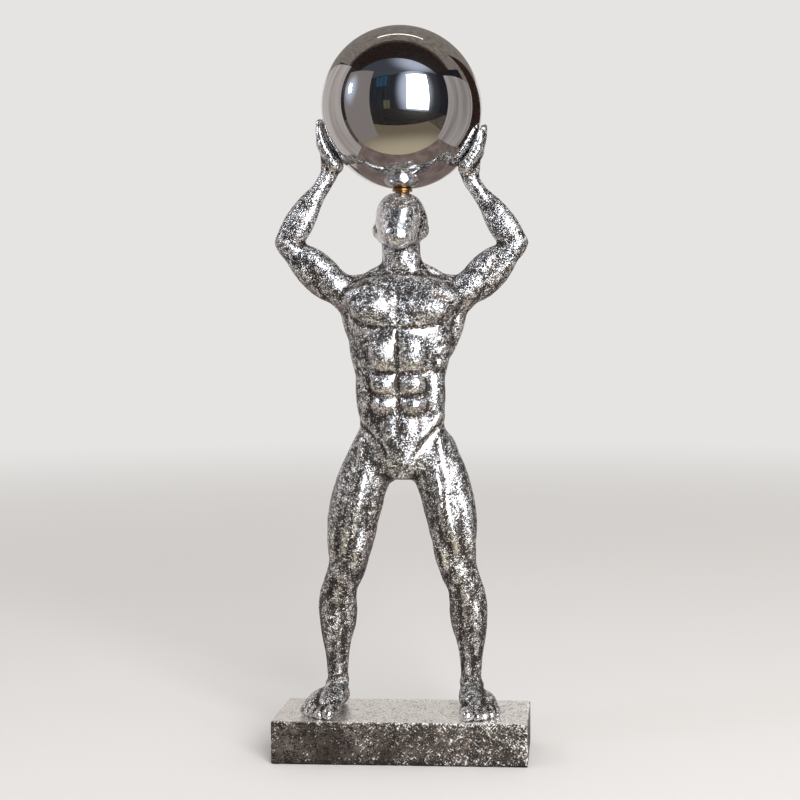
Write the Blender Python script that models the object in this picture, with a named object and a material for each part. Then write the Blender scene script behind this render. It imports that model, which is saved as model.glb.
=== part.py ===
"""A strongman statue: a nude muscular figure that stands astride on a block plinth and holds a polished ball
on its brow and between its palms. A turned brass collar joins the ball to the head.

Metres, +Z up. The origin is the middle of the plinth's underside, and the figure faces -Y.
Sizes are in millimetres until MM turns them to metres.
"""

import math

import bmesh
import bpy
import numpy as np
from mathutils import Matrix, Vector

MM = 0.001

# Plinth
PLINTH_WIDTH = 191.0
PLINTH_DEPTH = 62.5
PLINTH_HEIGHT = 32.2
PLINTH_EDGE_ROUND = 1.2

# Figure, from the soles to the seat that is cut on its brow for the collar
FIGURE_HEIGHT = 392.2
BODY_GRAIN = 1.25
BROAD_FILLET = 4.6
FINE_FILLET = 2.2
FIGURE_TRIANGLES = 7600

# Collar
COLLAR_HEIGHT = 2.9
COLLAR_FLANGE_RADIUS = 7.5
COLLAR_FLANGE_THICKNESS = 1.4
COLLAR_STEM_RADIUS = 5.4

# Ball
BALL_DIAMETER = 120.0

# Gap between pieces that rest on each other
SEAT_GAP = 0.3

# The figure is drawn in units of its own, from the soles at 0 to the crown at this height, and is then
# scaled to FIGURE_HEIGHT. Each point is (x, y, z) with +x to the figure's left and -y to its front.
CROWN = 383.5
FORWARD = Vector((0, -1, 0))
UP = Vector((0, 0, 1))


def ball_centre_above_soles():
    """Height of the ball's centre over the soles, in real millimetres."""
    return FIGURE_HEIGHT + SEAT_GAP + COLLAR_HEIGHT + SEAT_GAP + BALL_DIAMETER / 2


def figure_scale():
    return FIGURE_HEIGHT / CROWN


def sway(z):
    """The hips and ribs stand a little to the figure's right."""
    heights = (60, 80, 110, 150, 200, 230, 264, 300)
    return float(np.interp(z, heights, (-1.3, -1.8, -1.2, -1.2, -0.1, -1.6, -2.0, -0.6)))


# Shapes that the body is built up from


def axes_of(along, facing):
    """A 3x3 matrix whose columns are across, facing and along."""
    along = along.normalized()
    across = along.cross(facing)
    if across.length < 1e-4:
        across = along.cross(Vector((1, 0, 0)))
    across.normalize()
    facing = across.cross(along).normalized()
    return Matrix((across, facing, along)).transposed()


def belly(bm, start, end, wide, thick, facing=FORWARD, taper=0.0, bend=0.0):
    """A muscle: an egg that runs from start to end, with half width and half thickness given.
    A positive taper makes the end fatter than the start, and bend bows it towards facing."""
    start = Vector(start)
    end = Vector(end)
    turn = axes_of(end - start, Vector(facing))
    half = (end - start).length / 2
    middle = (start + end) / 2
    made = bmesh.ops.create_icosphere(bm, subdivisions=3, radius=1.0)
    for vert in made["verts"]:
        u = vert.co.z
        swell = 1 + taper * u
        local = Vector((vert.co.x * wide * swell, vert.co.y * thick * swell + bend * (1 - u * u), u * half))
        vert.co = middle + turn @ local


def ball(bm, centre, radii, turn=None):
    """An ellipsoid with a radius along each of its own axes."""
    turn = turn or Matrix.Identity(3)
    made = bmesh.ops.create_icosphere(bm, subdivisions=3, radius=1.0)
    for vert in made["verts"]:
        local = Vector(a * b for a, b in zip(vert.co, radii))
        vert.co = Vector(centre) + turn @ local


def rod(bm, start, end, start_radius, end_radius, facing=FORWARD, flat=1.0):
    """A bone or finger: a tapered rod with round ends. Its thickness along facing is flat times its width."""
    start = Vector(start)
    end = Vector(end)
    turn = axes_of(end - start, Vector(facing))
    made = bmesh.ops.create_icosphere(bm, subdivisions=3, radius=1.0)
    for vert in made["verts"]:
        at_end = vert.co.z > 0
        radius = end_radius if at_end else start_radius
        local = Vector((vert.co.x * radius, vert.co.y * radius * flat, vert.co.z * radius))
        vert.co = (end if at_end else start) + turn @ local


def loft(bm, rings, turn=None, sides=28):
    """A closed skin over rings of (centre, half width, front, back), front and back being from the centre."""
    turn = turn or Matrix.Identity(3)
    loops = []
    for centre, half_width, front, back in rings:
        made = bmesh.ops.create_circle(bm, segments=sides, radius=1.0, cap_ends=False)
        for vert in made["verts"]:
            depth = front if vert.co.y < 0 else back
            local = Vector((vert.co.x * half_width, vert.co.y * depth, 0))
            vert.co = Vector(centre) + turn @ local
        loops.append(made["verts"])
    edges = [list({e for v in loop for e in v.link_edges}) for loop in loops]
    for below, above in zip(edges, edges[1:]):
        bmesh.ops.bridge_loops(bm, edges=below + above)
    for rim in (edges[0], edges[-1]):
        bmesh.ops.contextual_create(bm, geom=rim)


# Torso


def torso(bm):
    # (height, half width, front, back) down the middle of the body
    outline = (
        (173, 10, 7, 9),
        (181, 30, 15, 19),
        (192, 36, 17, 22),
        (204, 34, 17.5, 21),
        (214.5, 31.0, 17.5, 18),
        (226, 31.2, 17, 16.5),
        (238, 32.0, 17, 16),
        (250, 33.4, 18, 17),
        (260, 36.2, 20, 18.5),
        (270, 38.2, 21.5, 20.5),
        (282, 39, 22.5, 22.5),
        (294, 40.5, 22.5, 23),
        (305, 39, 20, 22),
        (315, 33, 16, 19.5),
        (323, 22, 11, 17),
    )
    loft(bm, [((sway(z), 0, z), w, f, b) for z, w, f, b in outline])
    for side in (-1, 1):
        chest(bm, side)
        abdomen(bm, side)
        back(bm, side)


def chest(bm, side):
    s = side
    # Breast muscle: its full lower part, and the fan from the breastbone up to the raised arm
    ball(bm, (s * 19.5, -13.0, 299), (19.0, 12.5, 13.0))
    belly(bm, (s * 4, -14.5, 304), (s * 43, -10, 306), 12.5, 9.5, (s * 0.12, -1, -0.1), -0.1)
    ball(bm, (s * 17, -7.5, 311), (20, 10.5, 12))
    # Collar bone
    rod(bm, (s * 5, -8.6, 321), (s * 30, -3, 319), 2.6, 3.0)
    # Broad back muscle, seen behind the ribs
    belly(bm, (s * 42.5, 8, 309), (s * 28.5, 10, 258), 13, 7.6, (s, 0.3, 0), -0.24)
    # Saw-toothed muscle over the ribs
    for z, x, y in ((279, 35.5, -9.0), (270, 34.5, -10.0), (261, 33.0, -10.5)):
        belly(bm, (s * (x + 1), y + 8, z + 4), (s * (x - 7), y - 5.0, z - 4), 4.6, 3.0, (s, -0.8, 0))


def abdomen(bm, side):
    s = side
    # Straight muscle of the belly, in blocks of (height, half height, half width, y)
    for z, tall, wide, y in ((267, 14.8, 10.6, -17.2), (243.8, 8.6, 10.4, -15.2), (228.8, 7.6, 9.6, -14.4)):
        ball(bm, (sway(z) + s * 10.6, y, z), (wide, 6.8, tall))
    belly(bm, (sway(215) + s * 8, -13.0, 224), (s * 4, -12.5, 190), 9.5, 6.6, (0, -1, 0))
    ball(bm, (sway(195), -11.0, 197), (17, 8.2, 24))
    ball(bm, (sway(182), -3.0, 184), (15, 13.0, 11))
    # Slanting muscle at the flank
    belly(bm, (sway(262) + s * 25.0, -5, 264), (sway(220) + s * 25, -3, 212), 10.0, 8.0, (s, -0.6, 0))
    belly(bm, (s * 28, -1, 228), (sway(210) + s * 23, -8, 209), 7.0, 6.2, (s, -0.6, 0))
    # Crest of the hip
    rod(bm, (sway(206) + s * 29, 4, 206), (sway(204) + s * 23, -8.5, 203), 4.0, 3.5)


def back(bm, side):
    s = side
    # Shoulder blade and the muscle over it
    belly(bm, (s * 16, 19, 312), (s * 26, 19, 278), 11, 6.5, (0, 1, 0))
    belly(bm, (s * 10, 19, 320), (s * 40, 9, 312), 8, 7, (0, 1, 0.4))
    # Columns beside the spine
    belly(bm, (s * 7, 14, 300), (sway(210) + s * 8, 15, 205), 6.5, 5.5, (0, 1, 0))
    # Top of the shoulder, and the slope to it from the neck
    ball(bm, (s * 34, 4, 316.5), (11, 11, 8.6))
    belly(bm, (s * 5, 13, 335), (s * 38, 6, 315.5), 8.5, 4.6, (s * 0.3, 0.3, 1), 0.1)
    # Buttock
    ball(bm, (sway(186) + s * 18, 13, 187), (18, 16.5, 20))
    ball(bm, (sway(192) + s * 28, 7, 193), (12, 12, 16))


# Head and neck

HEAD_PIVOT = Vector((-1.6, 2.0, CROWN - 25.3))
HEAD_TILT = math.radians(38)


def head(bm):
    turn = Matrix.Rotation(-HEAD_TILT, 3, "X")

    def at(x, forward, up):
        return HEAD_PIVOT + turn @ Vector((x, -forward, up))

    ball(bm, at(0, -1.5, 9.0), (19.9, 22.0, 19.4), turn)
    ball(bm, at(0, 4.5, 8.5), (19.0, 18.6, 18.6), turn)
    ball(bm, at(0, 6.5, 1.0), (18.0, 16.0, 19.5), turn)
    ball(bm, at(0, 8.5, -7.0), (15.8, 12.5, 17.0), turn)
    ball(bm, at(0, 9.5, -15.5), (12.0, 10.5, 10.5), turn)
    for s in (-1, 1):
        rod(bm, at(s * 13.2, 0.5, -9), at(s * 6, 11.0, -19), 4.6, 5.0)
        ear(bm, s, at, turn)
    # Column of the neck, and the strap muscles down to the breastbone
    rod(bm, (-1.2, 8.5, 322), HEAD_PIVOT + Vector((-0.6, 4.0, -8)), 15.0, 14.6)
    for s in (-1, 1):
        belly(bm, (s * 11.8 - 1.4, 5.0, 350), (s * 6.0, -5.5, 320), 4.6, 4.6, (s, -1, 0))
    ball(bm, (-1.2, -2.5, 339), (10.5, 7.5, 14.0))
    ball(bm, (-0.8, 2.5, 321), (22, 10, 11))


def ear(bm, s, at, turn):
    lean = turn @ Matrix.Rotation(s * math.radians(14), 3, "Z")
    ball(bm, at(s * 18.7, -1.5, -0.5), (2.3, 4.0, 6.2), lean)
    ball(bm, at(s * 17.8, 0.0, -6.2), (2.2, 2.8, 3.0), lean)


# Arms and hands

SHOULDERS = {-1: Vector((-42, 3, 308)), 1: Vector((42, 3, 308))}
ELBOWS = {-1: Vector((-84.5, -2, 345.5)), 1: Vector((83.0, -2, 345.0))}
WRIST_ANGLE = {-1: math.radians(48.5), 1: math.radians(44.0)}
WRIST_LIFT = 13.5
PALM_SLACK = 0.15
PALM_HEEL_ANGLE = {-1: math.radians(48), 1: math.radians(44)}
FINGERTIP_ANGLE = {-1: math.radians(83.5), 1: math.radians(79)}


def on_ball(side, angle, depth, lift):
    """A point lift outside the ball, at an angle from its lowest point to one side, depth behind its centre."""
    scale = figure_scale()
    radius = BALL_DIAMETER / 2 / scale + lift
    centre = Vector((0, 0, ball_centre_above_soles() / scale))
    ring = math.sqrt(max(radius * radius - depth * depth, 1.0))
    return centre + Vector((side * ring * math.sin(angle), depth, -ring * math.cos(angle)))


def wrist_of(side):
    return on_ball(side, WRIST_ANGLE[side], 0, WRIST_LIFT)


def arm(bm, side):
    s = side
    shoulder = SHOULDERS[s]
    elbow = ELBOWS[s]
    wrist = wrist_of(s)
    upper = elbow - shoulder
    fore = wrist - elbow
    outward = Vector((s, 0, 0))
    # The plane of the bent arm: inward is towards the crook of the elbow
    crook = (-upper.normalized() + fore.normalized()).normalized()

    def on_upper(t, inward, forward):
        return shoulder + upper * t + crook * inward + FORWARD * forward

    def on_fore(t, inward, forward):
        side_of = crook - fore.normalized() * crook.dot(fore.normalized())
        side_of.normalize()
        return elbow + fore * t + side_of * inward + FORWARD * forward

    # Upper arm
    rod(bm, on_upper(-0.05, 0, 0), on_upper(0.98, 0, 0), 12.5, 9.2)
    belly(bm, on_upper(0.12, 5.2, 1), on_upper(0.97, 4.8, 1), 11.0, 10.5, crook, 0.02)
    belly(bm, on_upper(-0.05, -5, -2), on_upper(0.9, -5, -1), 11.5, 11.5, -crook, -0.12)
    belly(bm, on_upper(0.2, -6.5, 4), on_upper(0.95, -4.5, 3), 6.5, 8.5, -crook, -0.1)
    # Cap of the shoulder
    belly(bm, on_upper(-0.28, 6, 0), on_upper(0.58, 3.0, 2), 12.5, 10.5, crook)
    belly(bm, on_upper(-0.22, 1, 7), on_upper(0.52, 1, 6), 10.5, 8.0, FORWARD)
    belly(bm, on_upper(-0.25, 0, -8), on_upper(0.5, -1, -6), 11.0, 8.0, -FORWARD)
    # Elbow
    ball(bm, elbow - crook * 4.6 + UP * 3.0, (5.8, 6.0, 5.8))
    ball(bm, on_fore(0.02, -3, 0), (8.2, 8.4, 8.2))
    # Forearm
    rod(bm, elbow, wrist, 8.4, 5.6, FORWARD, 1.0)
    belly(bm, on_fore(-0.08, -3.6, 1), on_fore(0.84, -3.0, 0), 8.2, 8.8, -crook, -0.24)
    belly(bm, on_fore(-0.05, 2.8, 2), on_fore(0.78, 1.2, 1), 7.6, 7.8, crook, -0.22)
    belly(bm, on_fore(0.0, 0, -4), on_fore(0.85, 0, -1), 7.4, 7.0, -FORWARD, -0.2)
    rod(bm, on_fore(0.6, -0.4, 0), on_fore(1.0, 0, 0), 6.6, 6.4, FORWARD, 1.1)
    hand(bm, s)


def hand(bm, side):
    heel = PALM_HEEL_ANGLE[side]
    span = FINGERTIP_ANGLE[side] - heel

    def at(share, depth, lift):
        return on_ball(side, heel + span * share, depth, lift)

    inward = (at(0.5, 0, 0) - at(0.5, 0, 10)).normalized()
    # Palm, and the pads at its heel
    for depth in (-6.0, -2.0, 2.0, 6.0):
        rod(bm, at(0.06, depth * 0.8, 6.0), at(0.48, depth * 1.12, 5.4), 5.6, 4.9, inward, 0.95)
    ball(bm, at(0.10, -4.6, 5.8), (6.2, 5.2, 6.6))
    ball(bm, at(0.08, 5.0, 5.8), (6.2, 5.4, 6.6))
    rod(bm, wrist_of(side), at(0.28, 0, 6.6), 7.0, 5.8, inward, 0.9)
    # Four fingers, from the little one in front to the first behind
    for depth, reach in ((-8.2, 0.85), (-2.9, 0.96), (2.4, 1.0), (7.4, 0.94)):
        joint = 0.46 + (reach - 0.46) * 0.5
        rod(bm, at(0.46, depth * 0.9, 5.2), at(joint, depth, 4.4), 3.9, 3.2, inward, 1.0)
        rod(bm, at(joint, depth, 4.4), at(reach - 0.04, depth * 1.02, 3.2), 3.2, 2.4, inward, 1.0)
    # Thumb, laid along the back of the ball
    rod(bm, at(0.08, 6.5, 4.6), at(0.26, 12.5, 3.8), 4.6, 3.4)
    rod(bm, at(0.26, 12.5, 3.8), at(0.50, 16.5, 3.0), 3.2, 2.3)


# Legs and feet

# (height, outer edge, inner edge, front, back), from the hip to the ankle
LEG_OUTLINE = (
    (213, 30.0, 12.0, 9, 13),
    (206, 35.0, 7.0, 12, 17),
    (199, 39.0, 4.0, 14, 19),
    (191, 42.6, 2.5, 15, 20),
    (184, 46.0, 2.5, 15.5, 20),
    (176, 49.0, 6.5, 16, 19.5),
    (168, 51.4, 10.5, 16.5, 19),
    (160, 53.6, 13.6, 17, 18.5),
    (145, 56.0, 18.5, 17, 17),
    (135, 56.0, 19.8, 16.5, 15.5),
    (122.5, 54.2, 23.4, 15, 14),
    (110, 55.2, 25.8, 13.5, 13),
    (99, 58.6, 29.4, 12, 13.5),
    (89, 62.2, 34.6, 10.5, 14.5),
    (76.5, 64.0, 35.2, 9.0, 16),
    (60.7, 63.0, 37.0, 7.5, 15),
    (51.6, 61.8, 39.4, 7.0, 13.5),
    (41, 59.8, 41.6, 6.5, 11.5),
    (24.4, 58.4, 42.9, 6.0, 10),
    (12, 58.0, 43.6, 8, 10),
)
ANKLE_Y = 10.5
CALF_INNER = {-1: -3.3, 1: -5.4}
FOOT_TURN = {-1: math.radians(16), 1: math.radians(15)}


def leg(bm, side):
    s = side
    rows = LEG_OUTLINE
    rings = [(leg_middle(s, z), (wide - near) / 2, f, b) for z, wide, near, f, b in rows]
    loft(bm, rings)

    def at(z, outward, forward):
        """A point at a height, outward from the leg's middle and forward of it."""
        return leg_middle(s, z) + Vector((s * outward, -forward, 0))

    # Front of the thigh: outer, middle and inner heads
    belly(bm, at(182, 10, 4), at(108, 8.5, 5), 9.5, 12.5, (s * 0.9, -0.6, 0), -0.06)
    belly(bm, at(188, 1, 9.5), at(111, 2.0, 9.5), 8.6, 11.0, (s * 0.1, -1, 0))
    belly(bm, at(150, -8, 9), at(101, -6.6, 6.5), 8.2, 10.0, (-s * 0.6, -0.8, 0), 0.2)
    # Inner thigh, and the long strap from the hip to the inner knee
    belly(bm, at(182, -7.5, 2), at(122, -7.5, 1), 12.5, 9.0, (-s, -0.2, 0), -0.1)
    belly(bm, at(206, 8, 12), at(140, -9, 12.5), 4.4, 4.4, (0, -1, 0))
    # Back of the thigh
    belly(bm, at(178, 5, -9), at(102, 8, -7.5), 9.5, 11.5, (0, 1, 0))
    belly(bm, at(174, -6, -9), at(100, -8, -7), 9.0, 11.0, (0, 1, 0))
    # Kneecap, its tendon and the pads beside it
    ball(bm, at(104.5, 0.5, 8.4), (7.6, 5.2, 10.0))
    rod(bm, at(98, 0.5, 9.0), at(84, 0.5, 8.4), 3.6, 4.0)
    ball(bm, at(95, 6.0, 6.0), (4.6, 4.6, 6.4))
    ball(bm, at(95, -6.0, 6.0), (4.6, 4.6, 6.4))
    # Shin and the muscle beside it
    rod(bm, at(88, -1, 8.2), at(28, -2, 5.4), 3.6, 2.8)
    belly(bm, at(92, 6.0, 4), at(34, 2.5, 3.5), 7.4, 8.0, (s * 0.7, -0.8, 0), -0.25)
    # Calf
    belly(bm, at(92, CALF_INNER[s], -6), at(44, CALF_INNER[s], -7.5), 8.4, 11.0, (-s * 0.6, 0.8, 0), -0.06)
    belly(bm, at(100, 5, -6), at(54, 3.6, -7.5), 8.6, 12.0, (s * 0.5, 0.8, 0), -0.12)
    belly(bm, at(74, 0, -5), at(26, 0, -6), 9.5, 8.0, (0, 1, 0), -0.25)
    # Heel cord
    rod(bm, at(44, 0, -8.5), at(12, 0, -9.5), 2.8, 3.2)
    # Ankle bones
    ball(bm, at(20, -6.2, 0.5), (3.0, 4.2, 4.4))
    ball(bm, at(16.5, 6.6, -1.5), (3.0, 3.8, 4.6))
    foot(bm, s, leg_middle(s, 12) - UP * 12)


def leg_middle(side, z):
    """Middle of the leg at a height: the knee is a little forward and the ankle back."""
    heights = [row[0] for row in LEG_OUTLINE][::-1]
    middles = [(row[1] + row[2]) / 2 for row in LEG_OUTLINE][::-1]
    x = side * float(np.interp(z, heights, middles)) + sway(z)
    y = float(np.interp(z, (0, 25, 75, 105, 150, 190), (ANKLE_Y, ANKLE_Y, 6.0, 3.0, 1.5, 2.0)))
    return Vector((x, y, z))


def foot(bm, side, ankle):
    s = side
    turn = FOOT_TURN[s]
    ahead = Vector((s * math.sin(turn), -math.cos(turn), 0))
    outer = Vector((s * math.cos(turn), math.sin(turn), 0))

    def at(forward, outward, up):
        return ankle + ahead * forward + outer * outward + UP * up

    # Heel, instep and ball of the foot
    ball(bm, at(-6.6, 0.6, 6.8), (7.0, 7.4, 8.0))
    rod(bm, at(-5, 0.6, 6.5), at(14, 1.5, 5.8), 6.8, 8.6, UP, 0.9)
    rod(bm, at(0, -0.5, 17), at(20, -1.0, 6.5), 8.2, 7.4, UP, 1.0)
    belly(bm, at(-5, -1.0, 17), at(31, -4.0, 4.5), 9.4, 7.8, UP)
    belly(bm, at(0, 5, 12), at(29, 10.5, 3.8), 8.4, 6.4, UP)
    rod(bm, at(23, -8.4, 4.8), at(20, 11.6, 4.1), 5.6, 4.8, UP, 1.0)
    # Toes, from the great toe out
    toes = ((-9.4, 38.5, 4.7), (-2.3, 38.4, 3.6), (3.7, 36.6, 3.4), (9.2, 33.8, 3.2), (14.2, 30.2, 3.0))
    for outward, reach, radius in toes:
        root = at(21.5, outward * 0.88, 4.6)
        joint = at(21.5 + (reach - 21.5) * 0.5, outward * 0.97, 4.8)
        rod(bm, root, joint, radius * 1.05, radius, UP, 1.0)
        rod(bm, joint, at(reach - radius, outward, radius * 0.82), radius, radius, UP, 0.94)


# Grooves cut in the finished body. Each is (depth, half width, points), on both sides of the body.
# The points of the trunk are (x, z), and those of the legs are (outward from the leg's middle, z).
# A groove gets its full depth at a distance of GROOVE_RUN_OUT from its ends.
GROOVE_RUN_OUT = 10.0

FRONT_LINES = (
    (0.6, 2.4, ((0, 320), (0, 302), (0, 280))),
    (1.4, 1.8, ((0, 294), (0, 264), (0, 238), (0, 218))),
    (1.5, 1.7, ((-9, 285.8), (0, 285), (9, 285), (18, 285), (27, 286.5), (35, 293), (41, 307))),
    (1.2, 1.6, ((-7, 252.4), (10, 252), (20, 252.8), (28, 257))),
    (1.0, 1.7, ((-7, 235.4), (10, 235), (24, 238))),
    (0.4, 3.0, ((23, 284), (23, 264), (22, 247), (21, 230))),
    (1.2, 1.7, ((38, 224), (24, 209.5), (14.5, 200), (8, 188))),
    (0.4, 2.0, ((43, 304), (38, 288), (32, 272))),
)
BACK_LINES = (
    (1.8, 2.8, ((0, 326), (0, 290), (0, 250), (0, 212))),
    (2.4, 2.2, ((0, 206), (0, 190), (0, 176))),
    (1.1, 2.6, ((13, 300), (15, 284), (24, 274), (34, 276))),
    (1.5, 2.2, ((6, 172), (17, 167.5), (30, 170))),
    (0.9, 2.6, ((14, 262), (15, 240), (19, 222))),
)
LEG_FRONT_LINES = (
    (0.9, 2.4, ((5, 196), (0.5, 166), (-2.0, 150), (-2.5, 138), (0, 114))),
    (0.5, 2.6, ((12, 180), (9, 150), (7.5, 132), (8, 110))),
    (0.6, 2.4, ((-8, 186), (-12, 162), (-12.5, 132), (-10, 100))),
    (0.6, 2.2, ((-10, 109), (-3.5, 116.5), (0.5, 117.5), (5, 116.5), (11, 109))),
    (0.4, 2.2, ((-8, 99), (0.5, 94.5), (9, 99))),
    (0.5, 2.4, ((-5, 94), (-4.5, 70), (-5, 50), (-5, 30))),
)
LEG_BACK_LINES = (
    (1.2, 2.6, ((0, 160), (0, 135), (0, 108))),
    (1.3, 2.6, ((0, 96), (0, 80), (0, 58))),
)


def fineness(points):
    """1 on the hands, ears and feet, where the forms are small, and 0 on the trunk and limbs."""
    feet = (24 - points[:, 2]) / 8
    hands = np.full(len(points), -1.0)
    for side in (-1, 1):
        palm = np.array(on_ball(side, FINGERTIP_ANGLE[side] * 0.85, 0, 4))
        hands = np.maximum(hands, (30 - np.linalg.norm(points - palm, axis=1)) / 8)
        ear_hole = np.array(HEAD_PIVOT + Vector((side * 17.5, 0, 0)))
        hands = np.maximum(hands, (11 - np.linalg.norm(points - ear_hole, axis=1)) / 4)
    return np.clip(np.maximum(feet, hands), 0, 1)


def filleted(mesh, grain):
    """The skin's points, with a broad fillet on the trunk and limbs and a fine one on the small forms."""
    points = coordinates(mesh)
    near = smoothed(mesh, points, round((FINE_FILLET / grain) ** 2))
    far = smoothed(mesh, near, round((BROAD_FILLET / grain) ** 2))
    fine = fineness(points)[:, None]
    return near * fine + far * (1 - fine)


def distance_to_line(points, line):
    """Each point's distance to a polyline in the plane, and to the nearer of the line's two ends."""
    nearest = np.full(len(points), 1e9)
    for a, b in zip(line, line[1:]):
        a = np.array(a, float)
        b = np.array(b, float)
        run = b - a
        share = np.clip(((points - a) @ run) / (run @ run), 0, 1)
        foot_points = a + share[:, None] * run
        nearest = np.minimum(nearest, np.linalg.norm(points - foot_points, axis=1))
    to_end = np.minimum(*(np.linalg.norm(points - np.array(line[i], float), axis=1) for i in (0, -1)))
    return nearest, to_end


def carve(points, normals):
    """Pushes points in along their normals where a line passes them."""
    deepest = np.zeros(len(points))
    to_front = np.clip((-normals[:, 1] - 0.05) / 0.45, 0, 1)
    to_back = np.clip((normals[:, 1] - 0.05) / 0.45, 0, 1)
    for lines, facing, on_leg in (
        (FRONT_LINES, to_front, False),
        (BACK_LINES, to_back, False),
        (LEG_FRONT_LINES, to_front, True),
        (LEG_BACK_LINES, to_back, True),
    ):
        for depth, half_width, line in lines:
            for side in (-1, 1):
                if on_leg:
                    drawn = [(leg_middle(side, z).x + side * out, z) for out, z in line]
                else:
                    drawn = [(side * x + sway(z), z) for x, z in line]
                away, to_end = distance_to_line(points[:, [0, 2]], drawn)
                fade = np.clip(to_end / GROOVE_RUN_OUT, 0, 1)
                cut = depth * fade * np.exp(-((away / half_width) ** 2)) * facing
                deepest = np.maximum(deepest, cut)
    return points - normals * deepest[:, None]


# Mesh helpers


def new_object(name, mesh):
    made = bpy.data.objects.new(name, mesh)
    bpy.context.scene.collection.objects.link(made)
    return made


def baked(obj):
    """The object's mesh with its modifiers worked in, and the modifiers cleared."""
    bpy.context.view_layer.update()
    graph = bpy.context.evaluated_depsgraph_get()
    mesh = bpy.data.meshes.new_from_object(obj.evaluated_get(graph))
    obj.modifiers.clear()
    obj.data = mesh
    return mesh


def coordinates(mesh):
    points = np.empty(len(mesh.vertices) * 3, np.float32)
    mesh.vertices.foreach_get("co", points)
    return points.reshape(-1, 3).astype(float)


def set_coordinates(mesh, points):
    mesh.vertices.foreach_set("co", points.astype(np.float32).ravel())
    mesh.update()


def vertex_normals(mesh):
    normals = np.empty(len(mesh.vertices) * 3, np.float32)
    mesh.vertex_normals.foreach_get("vector", normals)
    return normals.reshape(-1, 3).astype(float)


def smoothed(mesh, points, passes):
    """The points after each has moved halfway to the middle of its neighbours, several times over."""
    ends = np.empty(len(mesh.edges) * 2, np.int32)
    mesh.edges.foreach_get("vertices", ends)
    ends = ends.reshape(-1, 2)
    count = np.bincount(ends.ravel(), minlength=len(points))[:, None]
    for _ in range(passes):
        total = np.empty_like(points)
        for axis in range(3):
            forth = np.bincount(ends[:, 0], points[ends[:, 1], axis], len(points))
            back = np.bincount(ends[:, 1], points[ends[:, 0], axis], len(points))
            total[:, axis] = forth + back
        points = (points + total / count) / 2
    return points


def material(name, colour, roughness, metallic):
    made = bpy.data.materials.new(name)
    made.use_nodes = True
    shader = made.node_tree.nodes["Principled BSDF"]
    shader.inputs["Base Color"].default_value = (*colour, 1.0)
    shader.inputs["Roughness"].default_value = roughness
    shader.inputs["Metallic"].default_value = metallic
    return made


def place_from_soles(mesh):
    """Scales the modelled figure, stands it on the plinth and turns millimetres to metres."""
    scale = figure_scale() * MM
    lift = (PLINTH_HEIGHT + SEAT_GAP) * MM
    mesh.transform(Matrix.Translation((0, 0, lift)) @ Matrix.Scale(scale, 4))


def keep_clear(points):
    """Flattens the soles and the collar's seat, and lets the palms follow the ball with a small gap."""
    scale = figure_scale()
    over_head = np.hypot(points[:, 0], points[:, 1]) < COLLAR_FLANGE_RADIUS / scale * 1.5
    points[:, 2] = np.where(over_head, np.minimum(points[:, 2], CROWN), points[:, 2])
    points[:, 2] = np.maximum(points[:, 2], 0.0)
    centre = np.array((0, 0, ball_centre_above_soles() / scale))
    clear = (BALL_DIAMETER / 2 + SEAT_GAP) / scale + PALM_SLACK
    away = points - centre
    distance = np.linalg.norm(away, axis=1)
    inside = distance < clear
    points[inside] = centre + away[inside] * (clear / distance[inside])[:, None]
    return points


# The four pieces


def figure():
    bm = bmesh.new()
    torso(bm)
    head(bm)
    for side in (-1, 1):
        arm(bm, side)
        leg(bm, side)
    mesh = bpy.data.meshes.new("figure")
    bm.to_mesh(mesh)
    bm.free()
    obj = new_object("figure", mesh)
    skin = obj.modifiers.new("one skin", "REMESH")
    skin.mode = "VOXEL"
    skin.voxel_size = BODY_GRAIN
    mesh = baked(obj)
    set_coordinates(mesh, filleted(mesh, BODY_GRAIN))
    set_coordinates(mesh, carve(coordinates(mesh), vertex_normals(mesh)))
    set_coordinates(mesh, keep_clear(coordinates(mesh)))
    triangles = sum(len(p.vertices) - 2 for p in mesh.polygons)
    lighter = obj.modifiers.new("fewer faces", "DECIMATE")
    lighter.ratio = FIGURE_TRIANGLES / triangles
    lighter.use_collapse_triangulate = True
    mesh = baked(obj)
    set_coordinates(mesh, keep_clear(coordinates(mesh)))
    place_from_soles(mesh)
    mesh.shade_smooth()
    obj.data.materials.append(material("silver leaf on cast resin", (0.55, 0.54, 0.52), 0.35, 0.9))
    return obj


def plinth():
    bm = bmesh.new()
    bmesh.ops.create_cube(bm, size=1.0)
    size = Vector((PLINTH_WIDTH, PLINTH_DEPTH, PLINTH_HEIGHT)) * MM
    bmesh.ops.scale(bm, vec=size, verts=bm.verts)
    bmesh.ops.translate(bm, vec=(0, 0, size.z / 2), verts=bm.verts)
    bmesh.ops.bevel(bm, geom=bm.edges, offset=PLINTH_EDGE_ROUND * MM, segments=2, affect="EDGES", profile=0.5)
    mesh = bpy.data.meshes.new("plinth")
    bm.to_mesh(mesh)
    bm.free()
    mesh.materials.append(material("silver leaf on cast block", (0.5, 0.48, 0.46), 0.4, 0.9))
    return new_object("plinth", mesh)


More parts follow.
